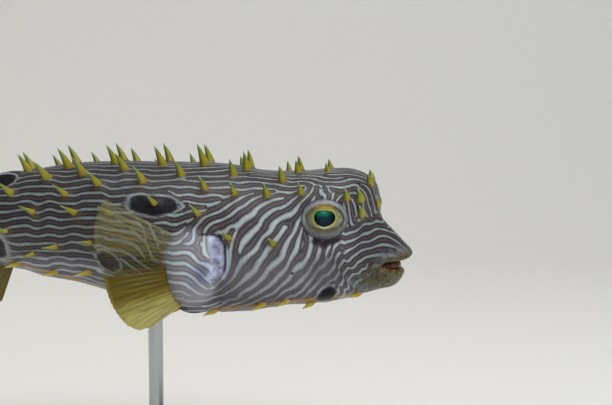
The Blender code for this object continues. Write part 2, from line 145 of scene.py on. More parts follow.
def patchFaces(patch):
    # A patch is a grid of points in mm. Its last column joins its first, its ends may be shut by a fan or by
    # zipping the front half of a row to its back half, and its uv rectangle is laid out by row and column.
    # What comes back are its points, its faces with four and with three corners, their uv, and its values.
    points = patch["points"]
    rows, columns = points.shape[:2]
    u0, v0, u1, v1 = patch.get("uv", (0.01, 0.01, 0.99, 0.99))
    i, j = np.meshgrid(np.arange(rows - 1), np.arange(columns), indexing="ij")
    k = (j + 1) % columns
    quads = np.stack([i * columns + j, i * columns + k, (i + 1) * columns + k, (i + 1) * columns + j], -1)
    across = np.stack([j, j + 1, j + 1, j], -1) / columns
    along = np.stack([i, i, i + 1, i + 1], -1) / (rows - 1)
    quads = quads.reshape(-1, 4)
    chart = np.stack([u0 + (u1 - u0) * across, v0 + (v1 - v0) * along], -1).reshape(-1, 4, 2)
    extra = []
    fans, fanCharts = [], []
    ends = patch.get("ends", ("fan", "fan"))
    for row, end in ((0, ends[0]), (rows - 1, ends[1])):
        ring = row * columns + np.arange(columns)
        edge = v0 if row == 0 else v1
        if end == "fan":
            middle = rows * columns + len(extra)
            extra.append(points[row].mean(axis=0))
            following = np.roll(ring, -1)
            fan = np.stack([np.full(columns, middle), following, ring], -1)
            if row:
                fan = fan[:, ::-1]
            fans.append(fan)
            c = u0 + (u1 - u0) * np.arange(columns) / columns
            d = u0 + (u1 - u0) * (np.arange(columns) + 1) / columns
            flat = np.stack([np.stack([(c + d) / 2, d, c], -1), np.full((columns, 3), edge)], -1)
            fanCharts.append(flat[:, ::-1] if row else flat)
        if end == "zip":
            half = columns // 2
            near = ring[:half]
            far = ring[::-1][:half]
            strip = np.stack([near[:-1], far[:-1], far[1:], near[1:]], -1)
            if row:
                strip = strip[:, ::-1]
            quads = np.concatenate([quads, strip])
            c = u0 + (u1 - u0) * np.arange(half - 1) / columns
            flat = np.stack([np.stack([c, c, c, c], -1), np.full((half - 1, 4), edge)], -1)
            chart = np.concatenate([chart, flat])
    cloud = np.concatenate([points.reshape(-1, 3)] + [np.array([e]) for e in extra])
    faces3 = np.concatenate(fans) if fans else np.zeros((0, 3), int)
    chart3 = np.concatenate(fanCharts) if fans else np.zeros((0, 3, 2))
    # signed volume of the patch, so that a closed one can be turned to face outwards
    triangles = np.concatenate([quads[:, [0, 1, 2]], quads[:, [0, 2, 3]], faces3])
    corners = cloud[triangles] - cloud.mean(axis=0)
    volume = np.einsum("ij,ij->i", corners[:, 0], np.cross(corners[:, 1], corners[:, 2])).sum()
    if volume < 0 if patch.get("turn") is None else patch["turn"]:
        quads, faces3 = quads[:, ::-1], faces3[:, ::-1]
        chart, chart3 = chart[:, ::-1], chart3[:, ::-1]
    values = {}
    for label, grid in patch.get("values", {}).items():
        tips = [grid[row].mean() for row, end in zip((0, -1), ends) if end == "fan"]
        values[label] = np.concatenate([grid.reshape(-1), tips])
    return cloud, quads, faces3, chart, chart3, values


def toMesh(name, patches, material):
    # one piece, riding on the body, from its patches
    places, loops, sizes, charts, values = [], [], [], [], {}
    base = 0
    for patch in patches:
        cloud, quads, faces3, chart, chart3, found = patchFaces(patch)
        places.append(cloud)
        loops += [quads.reshape(-1) + base, faces3.reshape(-1) + base]
        sizes += [np.full(len(quads), 4), np.full(len(faces3), 3)]
        charts += [chart.reshape(-1, 2), chart3.reshape(-1, 2)]
        for label, filled in found.items():
            values.setdefault(label, []).append(filled)
        base += len(cloud)
    places = np.concatenate(places) * mm
    loops = np.concatenate(loops)
    sizes = np.concatenate(sizes)
    charts = np.concatenate(charts)
    mesh = bpy.data.meshes.new(name)
    mesh.vertices.add(len(places))
    mesh.vertices.foreach_set("co", places.astype(np.float32).reshape(-1))
    mesh.loops.add(len(loops))
    mesh.loops.foreach_set("vertex_index", loops.astype(np.int32))
    mesh.polygons.add(len(sizes))
    mesh.polygons.foreach_set("loop_start", (np.cumsum(sizes) - sizes).astype(np.int32))
    mesh.polygons.foreach_set("loop_total", sizes.astype(np.int32))
    mesh.update(calc_edges=True)
    mesh.uv_layers.new(name="OFBake").data.foreach_set("uv", charts.astype(np.float32).reshape(-1))
    for label, parts in values.items():
        data = mesh.attributes.new(label, "FLOAT", "POINT").data
        data.foreach_set("value", np.concatenate(parts).astype(np.float32))
    mesh.shade_smooth()
    mesh.materials.append(material)
    made = bpy.data.objects.new(name, mesh)
    bpy.context.scene.collection.objects.link(made)
    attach(made, "root")
    return made


def mix(a, b, k):
    return a + (b - a) * k


def ease(k):
    k = np.clip(k, 0, 1)
    return k * k * (3 - 2 * k)


def hill(distance, width):
    # a round hill: e to the minus (distance / width) squared
    return np.exp(-((distance / width) ** 2))


def higher(a, b, k):
    # the larger of two heights, rounded where they meet over about k
    return 0.5 * (a + b + np.sqrt((a - b) ** 2 + k * k)) - 0.25 * k


def unit(v):
    return v / (np.linalg.norm(v, axis=-1, keepdims=True) + 1e-12)


print("body")

# Sections from the throat to the root of the tail fin: top (x, z), bottom (x, z), side (x, half width, z),
# squareness above and below, and how the section's plane folds
sections = {
    "gullet": (60.0, 72.1, 59.6, 70.6, 56.5, 3.0, 71.2, 2.0, 2.0, 1.0),
    "gape": (64.4, 72.6, 63.6, 69.2, 57.8, 7.0, 71.2, 2.8, 2.8, 1.0),
    "lipInside": (67.2, 72.3, 65.2, 68.9, 58.4, 7.9, 71.2, 3.0, 3.0, 1.0),
    "lipFront": (69.1, 73.7, 66.5, 68.0, 59.0, 9.0, 71.0, 2.8, 2.8, 1.1),
    "lipOutside": (68.7, 75.3, 65.8, 66.1, 58.6, 9.8, 70.5, 2.3, 2.3, 1.3),
    "snout": (66.6, 77.6, 64.4, 64.2, 57.0, 10.6, 70.2, 2.1, 2.1, 1.6),
    "muzzle": (63.0, 81.6, 62.0, 62.9, 54.4, 12.2, 71.5, 2.1, 2.2, 1.8),
    "bridge": (59.9, 84.8, 58.6, 62.1, 51.6, 14.4, 73.5, 2.1, 2.2, 2.0),
    "dip": (58.4, 87.2, 55.0, 60.9, 48.8, 16.4, 75.5, 2.2, 2.2, 2.0),
    "forehead": (58.1, 92.2, 51.6, 60.2, 46.2, 18.0, 77.0, 2.4, 2.2, 2.0),
    "brow": (56.4, 97.8, 48.0, 58.9, 43.4, 19.4, 78.0, 2.6, 2.2, 2.0),
    "crown": (50.6, 101.4, 43.0, 57.9, 40.0, 20.4, 78.5, 2.7, 2.2, 2.0),
    "eye": (42.0, 101.9, 37.0, 57.1, 35.0, 21.2, 78.5, 2.6, 2.2, 2.0),
    "cheek": (31.0, 101.1, 29.0, 56.4, 28.5, 22.2, 78.0, 2.5, 2.2, 2.0),
    "nape": (20.0, 101.2, 20.0, 55.0, 20.0, 23.2, 77.5, 2.4, 2.2, 2.0),
    "gill": (8.0, 103.3, 8.0, 53.9, 8.0, 24.0, 77.5, 2.3, 2.2, 2.0),
    "shoulder": (-8.0, 103.9, -8.0, 54.6, -8.0, 23.8, 78.5, 2.3, 2.2, 2.0),
    "flank": (-25.0, 104.2, -25.0, 58.2, -25.0, 22.0, 80.0, 2.3, 2.2, 2.0),
    "loin": (-42.0, 103.5, -42.0, 62.7, -42.0, 18.8, 82.0, 2.3, 2.2, 2.0),
    "vent": (-58.0, 101.4, -58.0, 65.6, -58.0, 14.6, 83.5, 2.2, 2.2, 2.0),
    "fins": (-72.0, 97.3, -72.0, 71.0, -72.0, 9.8, 84.3, 2.1, 2.1, 2.0),
    "peduncle": (-84.0, 91.6, -84.0, 76.8, -84.0, 6.0, 84.2, 2.0, 2.0, 2.0),
    "wrist": (-93.0, 89.3, -93.0, 78.8, -93.0, 4.0, 84.0, 2.0, 2.0, 2.0),
    "tailRoot": (-101.0, 90.2, -101.0, 77.6, -101.0, 2.6, 83.9, 2.0, 2.0, 2.0),
}
sectionNames = list(sections)
sectionRows = np.array(list(sections.values()))
moves = np.diff(sectionRows[:, :7], axis=0)
steps = (np.hypot(moves[:, 0], moves[:, 1]) + np.hypot(moves[:, 2], moves[:, 3])
         + np.sqrt((moves[:, 4:7] ** 2).sum(axis=1))) / 3
knots = np.concatenate([[0.0], np.cumsum(steps)])
rates = np.diff(sectionRows, axis=0) / steps[:, None]
inner = (rates[:-1] * steps[1:, None] + rates[1:] * steps[:-1, None]) / (steps[1:] + steps[:-1])[:, None]
slopes = np.vstack([rates[:1], inner, rates[-1:]])


def knotAt(name):
    return knots[sectionNames.index(name)]


def sectionAt(s):
    # cubic between neighbouring sections, with the slopes of a parabola through three
    s = np.clip(np.asarray(s, float), 0, knots[-1])
    i = np.clip(np.searchsorted(knots, s, side="right") - 1, 0, len(knots) - 2)
    h = (knots[i + 1] - knots[i])[..., None]
    f = (s[..., None] - knots[i][..., None]) / h
    start = (2 * f**3 - 3 * f**2 + 1) * sectionRows[i] + (f**3 - 2 * f**2 + f) * h * slopes[i]
    return start + (3 * f**2 - 2 * f**3) * sectionRows[i + 1] + (f**3 - f**2) * h * slopes[i + 1]


hump = {"x": -72.5, "reach": 10.5, "height": 1.9, "width": 3.4}      # under each median fin, in mm


def bodyPoint(s, t):
    # s runs back from the throat, t round from the back: a superellipse between the section's top,
    # side and bottom, with its plane folded as the cosine of t to a power, and a hump under each median fin
    s, t = np.broadcast_arrays(np.asarray(s, float), np.asarray(t, float))
    topX, topZ, lowX, lowZ, sideX, half, sideZ, above, below, fold = np.moveaxis(sectionAt(s), -1, 0)
    c, w = np.cos(t), np.sin(t)
    power = 2 / np.where(c >= 0, above, below)
    z = sideZ + (np.where(c >= 0, topZ, lowZ) - sideZ) * np.abs(c) ** power
    x = sideX + (np.where(c >= 0, topX, lowX) - sideX) * np.abs(c) ** fold
    y = -half * np.sign(w) * np.abs(w) ** power
    along = np.clip(1 - ((x - hump["x"]) / hump["reach"]) ** 2, 0, None)
    z = z + np.sign(c) * hump["height"] * along * hill(y, hump["width"]) * (np.abs(c) > 0.3)
    return np.stack([x, y, z], -1)


def bodyNormal(s, t):
    along = bodyPoint(s + 0.05, t) - bodyPoint(s - 0.05, t)
    around = bodyPoint(s, t + 0.002) - bodyPoint(s, t - 0.002)
    return unit(np.cross(along, around))


eye = {
    "centre": (40.8, -15.0, 87.2),
    "axis": (0.10, -0.99, 0.10),
    "radius": 8.0,
    "limbus": 6.5,               # radius at which the iris meets the eyeball's back
    "opening": (6.15, 4.25),     # half width and half height between the lids
    "fold": (7.7, 6.8),          # the outer fold round the eye, and how far down its middle lies
    "drop": 0.45,
    "pupil": ((0, 34, 62, 90, 118, 140, 180, 217, 258, 290, 318, 340),
              (3.35, 3.3, 2.55, 2.35, 2.6, 3.4, 3.5, 3.1, 2.95, 2.75, 2.75, 3.1)),
}


def eyeAxes(side):
    # the eye's centre, and its outward, forward and upward directions
    mirror = np.array([1, side, 1])
    out = unit(np.array(eye["axis"]) * mirror)
    ahead = unit(np.array([1.0, 0, 0]) - out * out[0])
    return np.array(eye["centre"]) * mirror, out, ahead, np.cross(ahead, out) * side * -1


# Spines of one side in rows, from the tail forwards: the length at the row's two ends, then each
# spine's distance back from the throat along the skin and its degrees round from the back
spineRows = {
    "ridge": (7.4, 6.4, ((142.6, 10), (127.5, 17), (111, 14), (95, 15), (81, 12), (67, 10))),
    "crown": (4.8, 3.3, ((51.5, 9), (43.5, 13))),
    "upper": (7.8, 5.6, ((134, 37), (121, 34), (107, 27), (87.5, 32), (70.6, 27), (55, 28))),
    "middle": (7.0, 4.6, ((146.6, 55), (126, 60), (115, 48), (100, 42), (79, 47), (69.5, 49), (59, 47),
                          (48, 48), (33, 48))),
    "side": (6.8, 6.4, ((137.4, 78), (122.4, 76), (109.6, 74), (95, 63), (80.5, 69), (70.6, 84), (56, 88))),
    "lower": (5.0, 5.4, ((148, 99), (138.4, 119), (129.7, 106), (117, 96))),
    "keel": (4.8, 5.2, ((145.5, 146), (131, 140), (118.5, 128))),
    "belly": (5.6, 3.8, ((106, 150), (90, 160), (76.5, 154), (60.6, 147), (52, 146), (43.5, 160), (26, 158))),
    "brow": (5.4, 3.8, ((29.8, 38), (26.4, 43), (25.6, 13), (31.8, 15))),
}


def spineList():
    # base, heading, skin's normal, length and degrees of every spine: the heading is the normal, leant to the
    # tail, raised, and laid back under the belly
    found = []
    for rear, front, places in spineRows.values():
        for (s, degrees), length in zip(places, np.linspace(rear, front, len(places))):
            t = math.radians(degrees)
            point = bodyPoint(s, t)
            normal = bodyNormal(np.float64(s), np.float64(t))
            lean = float(np.interp(point[0], (-30, 0, 32, 46, 56), (0.46, 0.32, 0.06, 0.2, 0.6)))
            rise = 0.55 * min(max((2.3 - t) / 1.4, 0.0), 1.0)
            heading = 0.62 * normal + np.array([-lean - 0.8 * (t > 2.2), 0.0, rise])
            for side in (1, -1):
                mirror = np.array([1, side, 1])
                found.append((point * mirror, unit(heading) * mirror, normal * mirror, length, degrees))
    return found


allSpines = spineList()

skin = {
    "frontRows": 222,            # rows of the grid before 100 mm, and behind it
    "rearRows": 100,
    "columns": 300,
    "frontEnd": 100.0,
    "root": ((-1.8, 71.0), (9.2, 13.0)),     # fleshy root of the pectoral fin: centre and radii
    "rootDepth": (20.4, 6.6),                # and sideways
    "slit": ((3.4, 75.2), (6.0, 7.3), (-36, 112)),     # gill slit: centre, radii, degrees from and to
    "underEyeShade": (328, 271),                    # shaded skin under the eye: pixel
    "lidShadows": (        # painted shadow under the eye's lid ring: pixel, half width and half height in mm
        (318, 242, 2.3, 1.0), (326, 242, 3.0, 1.0), (334, 240, 2.2, 1.1), (323, 245, 1.6, 1.5)),
}

stations = np.concatenate([np.linspace(0, skin["frontEnd"], skin["frontRows"], endpoint=False),
                           np.linspace(skin["frontEnd"], knots[-1], skin["rearRows"])])
# columns lie at even steps round the mean girth
fineTurns = np.linspace(0, tau, 1801)
girths = np.linalg.norm(np.diff(bodyPoint(stations[::20, None], fineTurns[None, :]), axis=1), axis=-1)
girths = np.concatenate([[0.0], np.cumsum((girths / girths.sum(axis=1, keepdims=True)).mean(axis=0))])
turns = np.interp(np.arange(skin["columns"]) / skin["columns"], girths / girths[-1], fineTurns)
rowS, columnT = np.meshgrid(stations, turns, indexing="ij")


def rootDistance(points):
    # from the centre of the fin's root, and 1 at its edge
    (cx, cz), (rx, rz) = skin["root"]
    return np.hypot((points[..., 0] - cx) / rx, (points[..., 2] - cz) / rz)


def slitDistance(points):
    # signed distance from the gill slit's crescent, in front positive, and how much of the crescent is there
    (cx, cz), (rx, rz), reach = skin["slit"]
    x = (points[..., 0] - cx) / rx
    z = (points[..., 2] - cz) / rz
    angle = np.degrees(np.arctan2(z, x))
    there = ease((angle - reach[0] + 6) / 12) * ease((reach[1] + 6 - angle) / 12)
    there = there * (np.abs(points[..., 1]) > 10)
    return ((np.abs(x) ** 3 + np.abs(z) ** 3) ** (1 / 3) - 1) * (rx + rz) / 2, there


def soften(field, passes):
    # each pass sets every vertex to the mean of itself and its four neighbours
    for _ in range(passes):
        field = (field + np.roll(field, 1, 1) + np.roll(field, -1, 1)
                 + np.vstack([field[1:], field[-1:]]) + np.vstack([field[:1], field[:-1]])) / 5
    return field


def noiseOver(seed, passes):
    # seeded noise on the skin's grid, softened, with a spread of one
    field = soften(np.random.default_rng(seed).standard_normal(rowS.shape), passes)
    return field / field.std()


def shapeSkin():
    points = bodyPoint(rowS, columnT)
    normal = bodyNormal(rowS, columnT)
    # the fin's root: the larger of the body's half width and an ellipsoid's, rounded where they meet
    away = rootDistance(points)
    deep, thick = skin["rootDepth"]
    lobe = deep + thick * np.sqrt(np.clip(1 - away**2, 0, 1)) - 9 * np.clip(away - 1, 0, None)
    width = np.abs(points[..., 1])
    side = np.sign(points[..., 1])
    near = ease((1.35 - away) / 0.2) * (width > 9)
    points[..., 1] = side * mix(width, higher(width, lobe, 0.9), near)
    # the gill slit: a groove behind a low lip, with a fleshy flap inside
    d, there = slitDistance(points)
    lift = there * (0.45 * hill(d - 1.1, 0.9) - 1.3 * hill(d, 0.42) + 0.5 * hill(d + 1.6, 1.1))
    # soft unevenness of loose skin, more of it on the belly
    soft = 0.10 * noiseOver(11, 160) + 0.035 * noiseOver(12, 14) * (1 + (np.cos(columnT) < -0.5))
    lift = lift + soft * ease((rowS - 6) / 12)
    # a low cone of skin round the foot of each spine
    for base, heading, upward, length, degrees in allSpines:
        gap = np.sqrt(((points - base) ** 2).sum(axis=-1))
        lift = lift + 0.75 * hill(gap, 1.7) * (length / 7)
    points = points + normal * lift[..., None]
    for side in (1, -1):
        points = tuckEye(points, side)
    return points


def underEye():
    # the body's height over the plane through the eye's centre: a cubic in u and v, by least squares
    s, t = np.meshgrid(np.linspace(18, 48, 40), np.linspace(0.25, 1.7, 40))
    centre, out, ahead, up = eyeAxes(1)
    offset = bodyPoint(s, t).reshape(-1, 3) - centre
    u, v, h = offset @ ahead, offset @ up, offset @ out
    near = np.hypot(u, v) < 11
    powers = [(i, j) for i in range(4) for j in range(4 - i)]
    table = np.stack([u[near] ** i * v[near] ** j for i, j in powers], -1)
    factors = np.linalg.lstsq(table, h[near], rcond=None)[0]
    return lambda a, b: sum(factor * a**i * b**j for factor, (i, j) in zip(factors, powers))


restHeight = underEye()


def tuckEye(points, side):
    # round an eye the skin rises to the eyeball, is creased along the lids' outer fold, and drops away
    # under them
    centre, out, ahead, up = eyeAxes(side)
    offset = points - centre
    u, v, h = offset @ ahead, offset @ up, offset @ out
    r = np.hypot(u, v)
    close = (r < 13) & (h > 0)
    fold = np.hypot(u / eye["fold"][0], (v + eye["drop"]) / eye["fold"][1])
    ball = np.sqrt(np.clip((eye["radius"] + 0.2) ** 2 - r**2, 0, None))
    height = higher(h, ball, 1.0) - 0.3 * hill(fold - 1.07, 0.06) + 0.35 * hill(fold - 1.24, 0.1)
    height = height - 4.5 * ease((1.0 - fold) / 0.22)
    return points + np.where(close, (height - h) * ease((13 - r) / 2), 0.0)[..., None] * out


skinPoints = shapeSkin()
alongStep = np.gradient(skinPoints, axis=0)
acrossStep = (np.roll(skinPoints, -1, 1) - np.roll(skinPoints, 1, 1)) / 2
skinNormal = unit(np.cross(alongStep, acrossStep))
backward = unit(alongStep)
around = np.cross(skinNormal, backward)

print("stripes")

# How the stripes lie, read off the photograph: pixel, and degrees up from level, grouped by region
stripes = {
    # pixel, and mm from one stripe to the next
    "spacing": ((20, 200, 2.6), (60, 220, 2.6), (90, 250, 2.6), (60, 170, 2.6), (140, 185, 2.6),
                (200, 180, 2.7), (240, 200, 3.2), (262, 212, 3.6), (285, 205, 3.3), (245, 245, 3.9),
                (262, 255, 4.0), (290, 250, 3.3), (305, 268, 3.2), (240, 290, 2.8), (262, 295, 2.7),
                (290, 290, 2.8), (318, 255, 2.9), (335, 272, 2.7), (346, 280, 2.6), (360, 258, 2.9),
                (375, 240, 3.1), (395, 242, 3.0), (365, 275, 2.8), (312, 179, 1.8), (330, 177, 2.1),
                (346, 178, 2.4), (292, 180, 2.0), (272, 178, 2.3), (322, 193, 2.4), (350, 205, 2.2),
                (180, 270, 2.7), (206, 258, 2.6), (190, 230, 2.6)),
    "usual": 2.8,                 # mm from one stripe to the next that the wavelet is drawn for
    "rounds": 16,                 # of smoothing and sharpening
    "reach": 3.6,                 # mm over which one reading holds, and where the stripes turn sharply
    "sharpReach": 2.0,
    "wave": 0.60,                 # mm that a stripe swings to either side
    "flank": ((5, 175, 0), (20, 225, 0), (40, 200, 2), (60, 225, 0), (80, 190, 0), (90, 235, -3),
              (30, 260, 0), (60, 262, 0), (85, 262, -10), (120, 185, 0), (60, 178, 0), (100, 168, 0),
              (150, 175, 0), (165, 190, -2), (200, 172, 0), (210, 200, 0), (180, 183, -6), (240, 172, -3),
              (225, 190, 0), (120, 225, -4), (118, 236, -4), (128, 240, -20), (137, 246, -42),
              (144, 255, -62), (151, 236, -78), (152, 250, -86), (125, 251, -18), (133, 259, -42),
              (110, 245, -4), (105, 222, 0)),
    "shoulder": ((185, 200, -5), (190, 211, 2), (205, 213, 8), (215, 213, 14), (225, 212, 30),
                 (178, 226, 0)),
    "gill": ((168, 219, 2), (185, 219, -3), (190, 229, 50), (172, 247, 8), (183, 245, 10), (190, 244, 18),
             (195, 240, 72), (196, 234, 86), (199, 229, 52), (205, 225, 28), (212, 222, 5), (220, 224, -6),
             (227, 222, 42), (203, 236, 90), (203, 245, 90), (203, 253, 96), (206, 259, 125),
             (211, 263, 148), (228, 250, 90), (228, 262, 88), (226, 274, 60), (222, 280, 48),
             (230, 270, 70), (235, 250, 78), (172, 255, 2), (183, 253, -2), (190, 256, -32),
             (197, 262, -44), (203, 268, -48), (208, 275, -52), (172, 263, 0), (183, 263, 0),
             (189, 267, -40), (195, 274, -50), (201, 281, -52), (206, 287, -56), (177, 275, 16),
             (183, 273, 0), (188, 277, -45), (171, 288, 28), (178, 285, 20), (184, 283, 0),
             (191, 285, -18), (197, 289, -30), (200, 297, 0), (210, 297, 8), (216, 293, 36),
             (222, 288, 45)),
    "nape": ((235, 205, 25), (250, 200, 20), (265, 195, 15), (285, 193, 12), (245, 212, 45),
             (262, 205, 32), (280, 203, 25), (295, 198, 35), (255, 220, 45), (232, 218, 50)),
    "cheek": ((233, 228, 60), (229, 250, 80), (226, 270, 65), (245, 240, 62), (240, 262, 68),
              (232, 282, 45), (250, 285, 48), (258, 250, 58), (270, 225, 50), (280, 212, 48),
              (268, 265, 52), (284, 235, 66), (290, 222, 66), (297, 226, 80), (292, 250, 72),
              (300, 240, 90), (307, 255, 84), (302, 268, 68), (295, 256, 52), (303, 263, 50),
              (288, 268, 55), (272, 282, 42), (290, 287, 55), (308, 280, 68), (262, 295, 38),
              (240, 300, 35), (215, 300, 42), (218, 285, 50), (300, 200, 45)),
    "underEye": ((316, 262, 75), (322, 250, 85), (326, 268, 68), (334, 256, 72), (333, 275, 58),
                 (345, 250, 48), (352, 240, 28), (346, 266, 62), (340, 284, 72), (322, 284, 52),
                 (304, 296, 40)),
    "snout": ((352, 262, 52), (360, 255, 38), (368, 262, 40), (372, 248, 18), (385, 250, -8),
              (385, 240, 0), (362, 236, 25), (371, 229, 35), (381, 226, 0), (391, 233, -38),
              (400, 243, -45), (406, 251, -60), (395, 252, -20), (356, 224, -2), (366, 222, 20),
              (373, 216, 35), (388, 222, -40)),
    "jaw": ((352, 272, 15), (362, 270, 40), (350, 285, 80), (362, 283, 60), (375, 280, 30),
            (390, 278, 10)),
    "crown": ((270, 180, -2), (280, 173, -3), (290, 176, -12), (300, 178, -14), (310, 180, -14),
              (320, 183, -18), (328, 186, -22), (336, 188, -12), (300, 173, -4), (315, 175, -5),
              (330, 177, -4), (345, 178, 3), (345, 172, 3), (330, 172, 1), (356, 173, 0), (350, 184, 4),
              (343, 188, 2), (285, 184, -6), (296, 185, -5), (285, 190, -2), (313, 191, 75),
              (319, 193, 90), (324, 194, 92), (329, 195, 88), (334, 196, 76), (340, 197, 62),
              (346, 206, 118), (352, 214, 96), (292, 213, 50), (298, 206, 47), (304, 200, 38),
              (310, 195, 45), (299, 215, 72), (363, 175, -25), (370, 180, -45), (376, 190, -72),
              (355, 208, 90), (368, 200, 98), (371, 211, 120), (357, 192, 128), (352, 188, 20)),
}
combRegions = ("flank", "shoulder", "gill", "nape", "cheek", "underEye", "snout", "jaw", "crown")
seen = inPicture(skinPoints)
towardsCamera = ((cameraAxes()[0] - skinPoints) * skinNormal).sum(axis=-1) > 0


def skinAtPixel(x, y):
    gap = ((seen - np.array([x, y])) ** 2).sum(axis=-1) + np.where(towardsCamera, 0, 1e9)
    return np.unravel_index(gap.argmin(), gap.shape)


def readGrid(field, table):
    # bilinear reading of a grid at every vertex's stored place
    flat = field.reshape(-1)
    return sum(flat[index] * weight for index, weight in table)


def tableAt(di, dj):
    rows, columns = rowS.shape
    ii = np.clip(np.arange(rows)[:, None] + di, 0, rows - 1.001)
    jj = np.arange(columns)[None, :] + dj
    i0 = np.floor(ii).astype(np.int32)
    j0 = np.floor(jj).astype(np.int32)
    fi, fj = ii - i0, jj - j0
    j0, j1 = j0 % columns, (j0 + 1) % columns
    return ((i0 * columns + j0, (1 - fi) * (1 - fj)), ((i0 + 1) * columns + j0, fi * (1 - fj)),
            (i0 * columns + j1, (1 - fi) * fj), ((i0 + 1) * columns + j1, fi * fj))


def walk(direction, step, count, size):
    # places reached from every vertex by equal steps both ways along a field of directions; a step is in mm
    # where size is one
    found = []
    for sign in (1, -1):
        di, dj = np.zeros(rowS.shape), np.zeros(rowS.shape)
        heading = direction * sign
        for n in range(count):
            table = tableAt(di, dj)
            a = np.stack([readGrid(alongStep[..., c], table) for c in range(3)], -1)
            b = np.stack([readGrid(acrossStep[..., c], table) for c in range(3)], -1)
            aa, ab, bb = (a * a).sum(-1), (a * b).sum(-1), (b * b).sum(-1)
            p, q = (a * heading).sum(-1) * step * size, (b * heading).sum(-1) * step * size
            det = aa * bb - ab * ab + 1e-6
            di, dj = di + (bb * p - ab * q) / det, dj + (aa * q - ab * p) / det
            table = tableAt(di, dj)
            found.append(((n + 1) * step, table))
            turned = np.stack([readGrid(direction[..., c], table) for c in range(3)], -1)
            same = np.where((turned * heading).sum(-1, keepdims=True) < 0, -1.0, 1.0)
            heading = unit(turned * same)
    return found


# Dark blotches: pixel of the middle, half sizes in mm along and across the body, and turn in degrees
blotches = {
    "overFin": (153, 204, 8.0, 3.5, 0),
    "behindFin": (108, 261, 4.5, 2.9, -28),
    "analBase": (-4, 247, 4.0, 5.0, 0),
    "dorsalBase": (1, 182, 5.2, 3.4, 0),
    "throat": (325, 296, 2.7, 5.2, -22),
}


def blotchFrames():
    # for every blotch and its mirror image: its side, the distances from its middle along its two axes,
    # its half sizes and its turn
    found = []
    for x, y, long, short, turn in blotches.values():
        at = skinAtPixel(x, y)
        for side in (1, -1):
            offset = skinPoints - skinPoints[at] * (1, side, 1)
            a, b = (offset * backward).sum(-1), (offset * around).sum(-1) * side
            a = np.where((offset**2).sum(-1) > (3 * long) ** 2, 999.0, a)
            angle = math.radians(turn)
            found.append((side, a * math.cos(angle) + b * math.sin(angle),
                          b * math.cos(angle) - a * math.sin(angle), long, short, angle))
    return found


def blotchDistance():
    # distance from the nearest blotch's edge in mm, inside negative, with a slightly uneven edge
    gaps = [(np.hypot(c / long, d / short) - 1) * min(long, short)
            for side, c, d, long, short, angle in blotchFrames()]
    return np.min(gaps, axis=0) + 0.22 * noiseOver(8, 20)


def combField():
    # The readings blended by distance and mirrored to the left side: as headings, how well they agree, and
    # with doubled angles. Also the spacing.
    heading, total = np.zeros(rowS.shape, complex), np.full(rowS.shape, 1e-3)
    double = np.full(rowS.shape, 1e-4, complex)
    for region in combRegions:
        reach = stripes["sharpReach" if region in ("gill", "crown") else "reach"]
        for x, y, degrees in stripes[region]:
            at = skinAtPixel(x, y)
            home = skinPoints[at]
            probe = inPicture(np.stack([home, home + backward[at] * 0.5, home + around[at] * 0.5]))
            jacobian = np.stack([probe[1] - probe[0], probe[2] - probe[0]], -1)
            angle = math.radians(degrees)
            local = np.linalg.solve(jacobian, np.array([math.cos(angle), -math.sin(angle)]))
            bent = math.atan2(local[1], local[0])
            for side in (1, -1):
                away = ((skinPoints - home * (1, side, 1)) ** 2).sum(-1)
                near = ((away + reach**2) / 13) ** -2.5
                heading += near * np.exp(1j * bent * side)
                double += near * np.exp(2j * bent * side)
                total += near
    # the spacing is 2.7 mm far from its readings
    gap, weight = np.full(rowS.shape, 2.7e-3), np.full(rowS.shape, 1e-3)
    for x, y, size in stripes["spacing"]:
        home = skinPoints[skinAtPixel(x, y)]
        for side in (1, -1):
            near = hill(np.sqrt(((skinPoints - home * (1, side, 1)) ** 2).sum(-1)), 8.0)
            gap += near * size
            weight += near
    return heading, np.abs(heading) / total, double / np.abs(double), gap / weight


def layPhase(heading, sure, gap):
    # The phase of the stripes: along each edge of the grid it should rise by tau times the edge's run across
    # the stripes over their spacing. Least squares, by conjugate gradients.
    angle = np.angle(heading)
    lines = backward * np.cos(angle)[..., None] + around * np.sin(angle)[..., None]
    right = np.where(skinPoints[..., 1:2] < 0, 1, -1)
    rate = np.cross(skinNormal, lines) * right * (tau / gap)[..., None]
    rowEdge, ringEdge = np.diff(skinPoints, axis=0), np.roll(skinPoints, -1, 1) - skinPoints
    rowLength = np.linalg.norm(rowEdge, axis=-1) + 0.05
    ringLength = np.linalg.norm(ringEdge, axis=-1) + 0.05
    ratio = np.clip(ringLength[1:] / rowLength, 0.2, 5)
    rowWeight = (sure[1:] + sure[:-1]) / 2 * ratio
    ringWeight = (sure + np.roll(sure, -1, 1)) / 2 / np.vstack([ratio[:1], ratio])

    def gather(alongRows, alongRings):
        # what the edges' values, weighted, add up to at the vertices
        a, b = rowWeight * alongRows, ringWeight * alongRings
        found = np.roll(b, 1, 1) - b
        found[1:] += a
        found[:-1] -= a
        return found

    def through(field):
        return gather(np.diff(field, axis=0), np.roll(field, -1, 1) - field)

    phase = np.zeros(rowS.shape)
    rest = gather(((rate[1:] + rate[:-1]) / 2 * rowEdge).sum(-1),
                  ((rate + np.roll(rate, -1, 1)) / 2 * ringEdge).sum(-1))
    search = rest.copy()
    size = (rest**2).sum()
    for _ in range(900):
        pushed = through(search)
        step = size / (search * pushed).sum()
        phase += step * search
        rest -= step * pushed
        size, before = (rest**2).sum(), size
        search = rest + size / before * search
    return phase


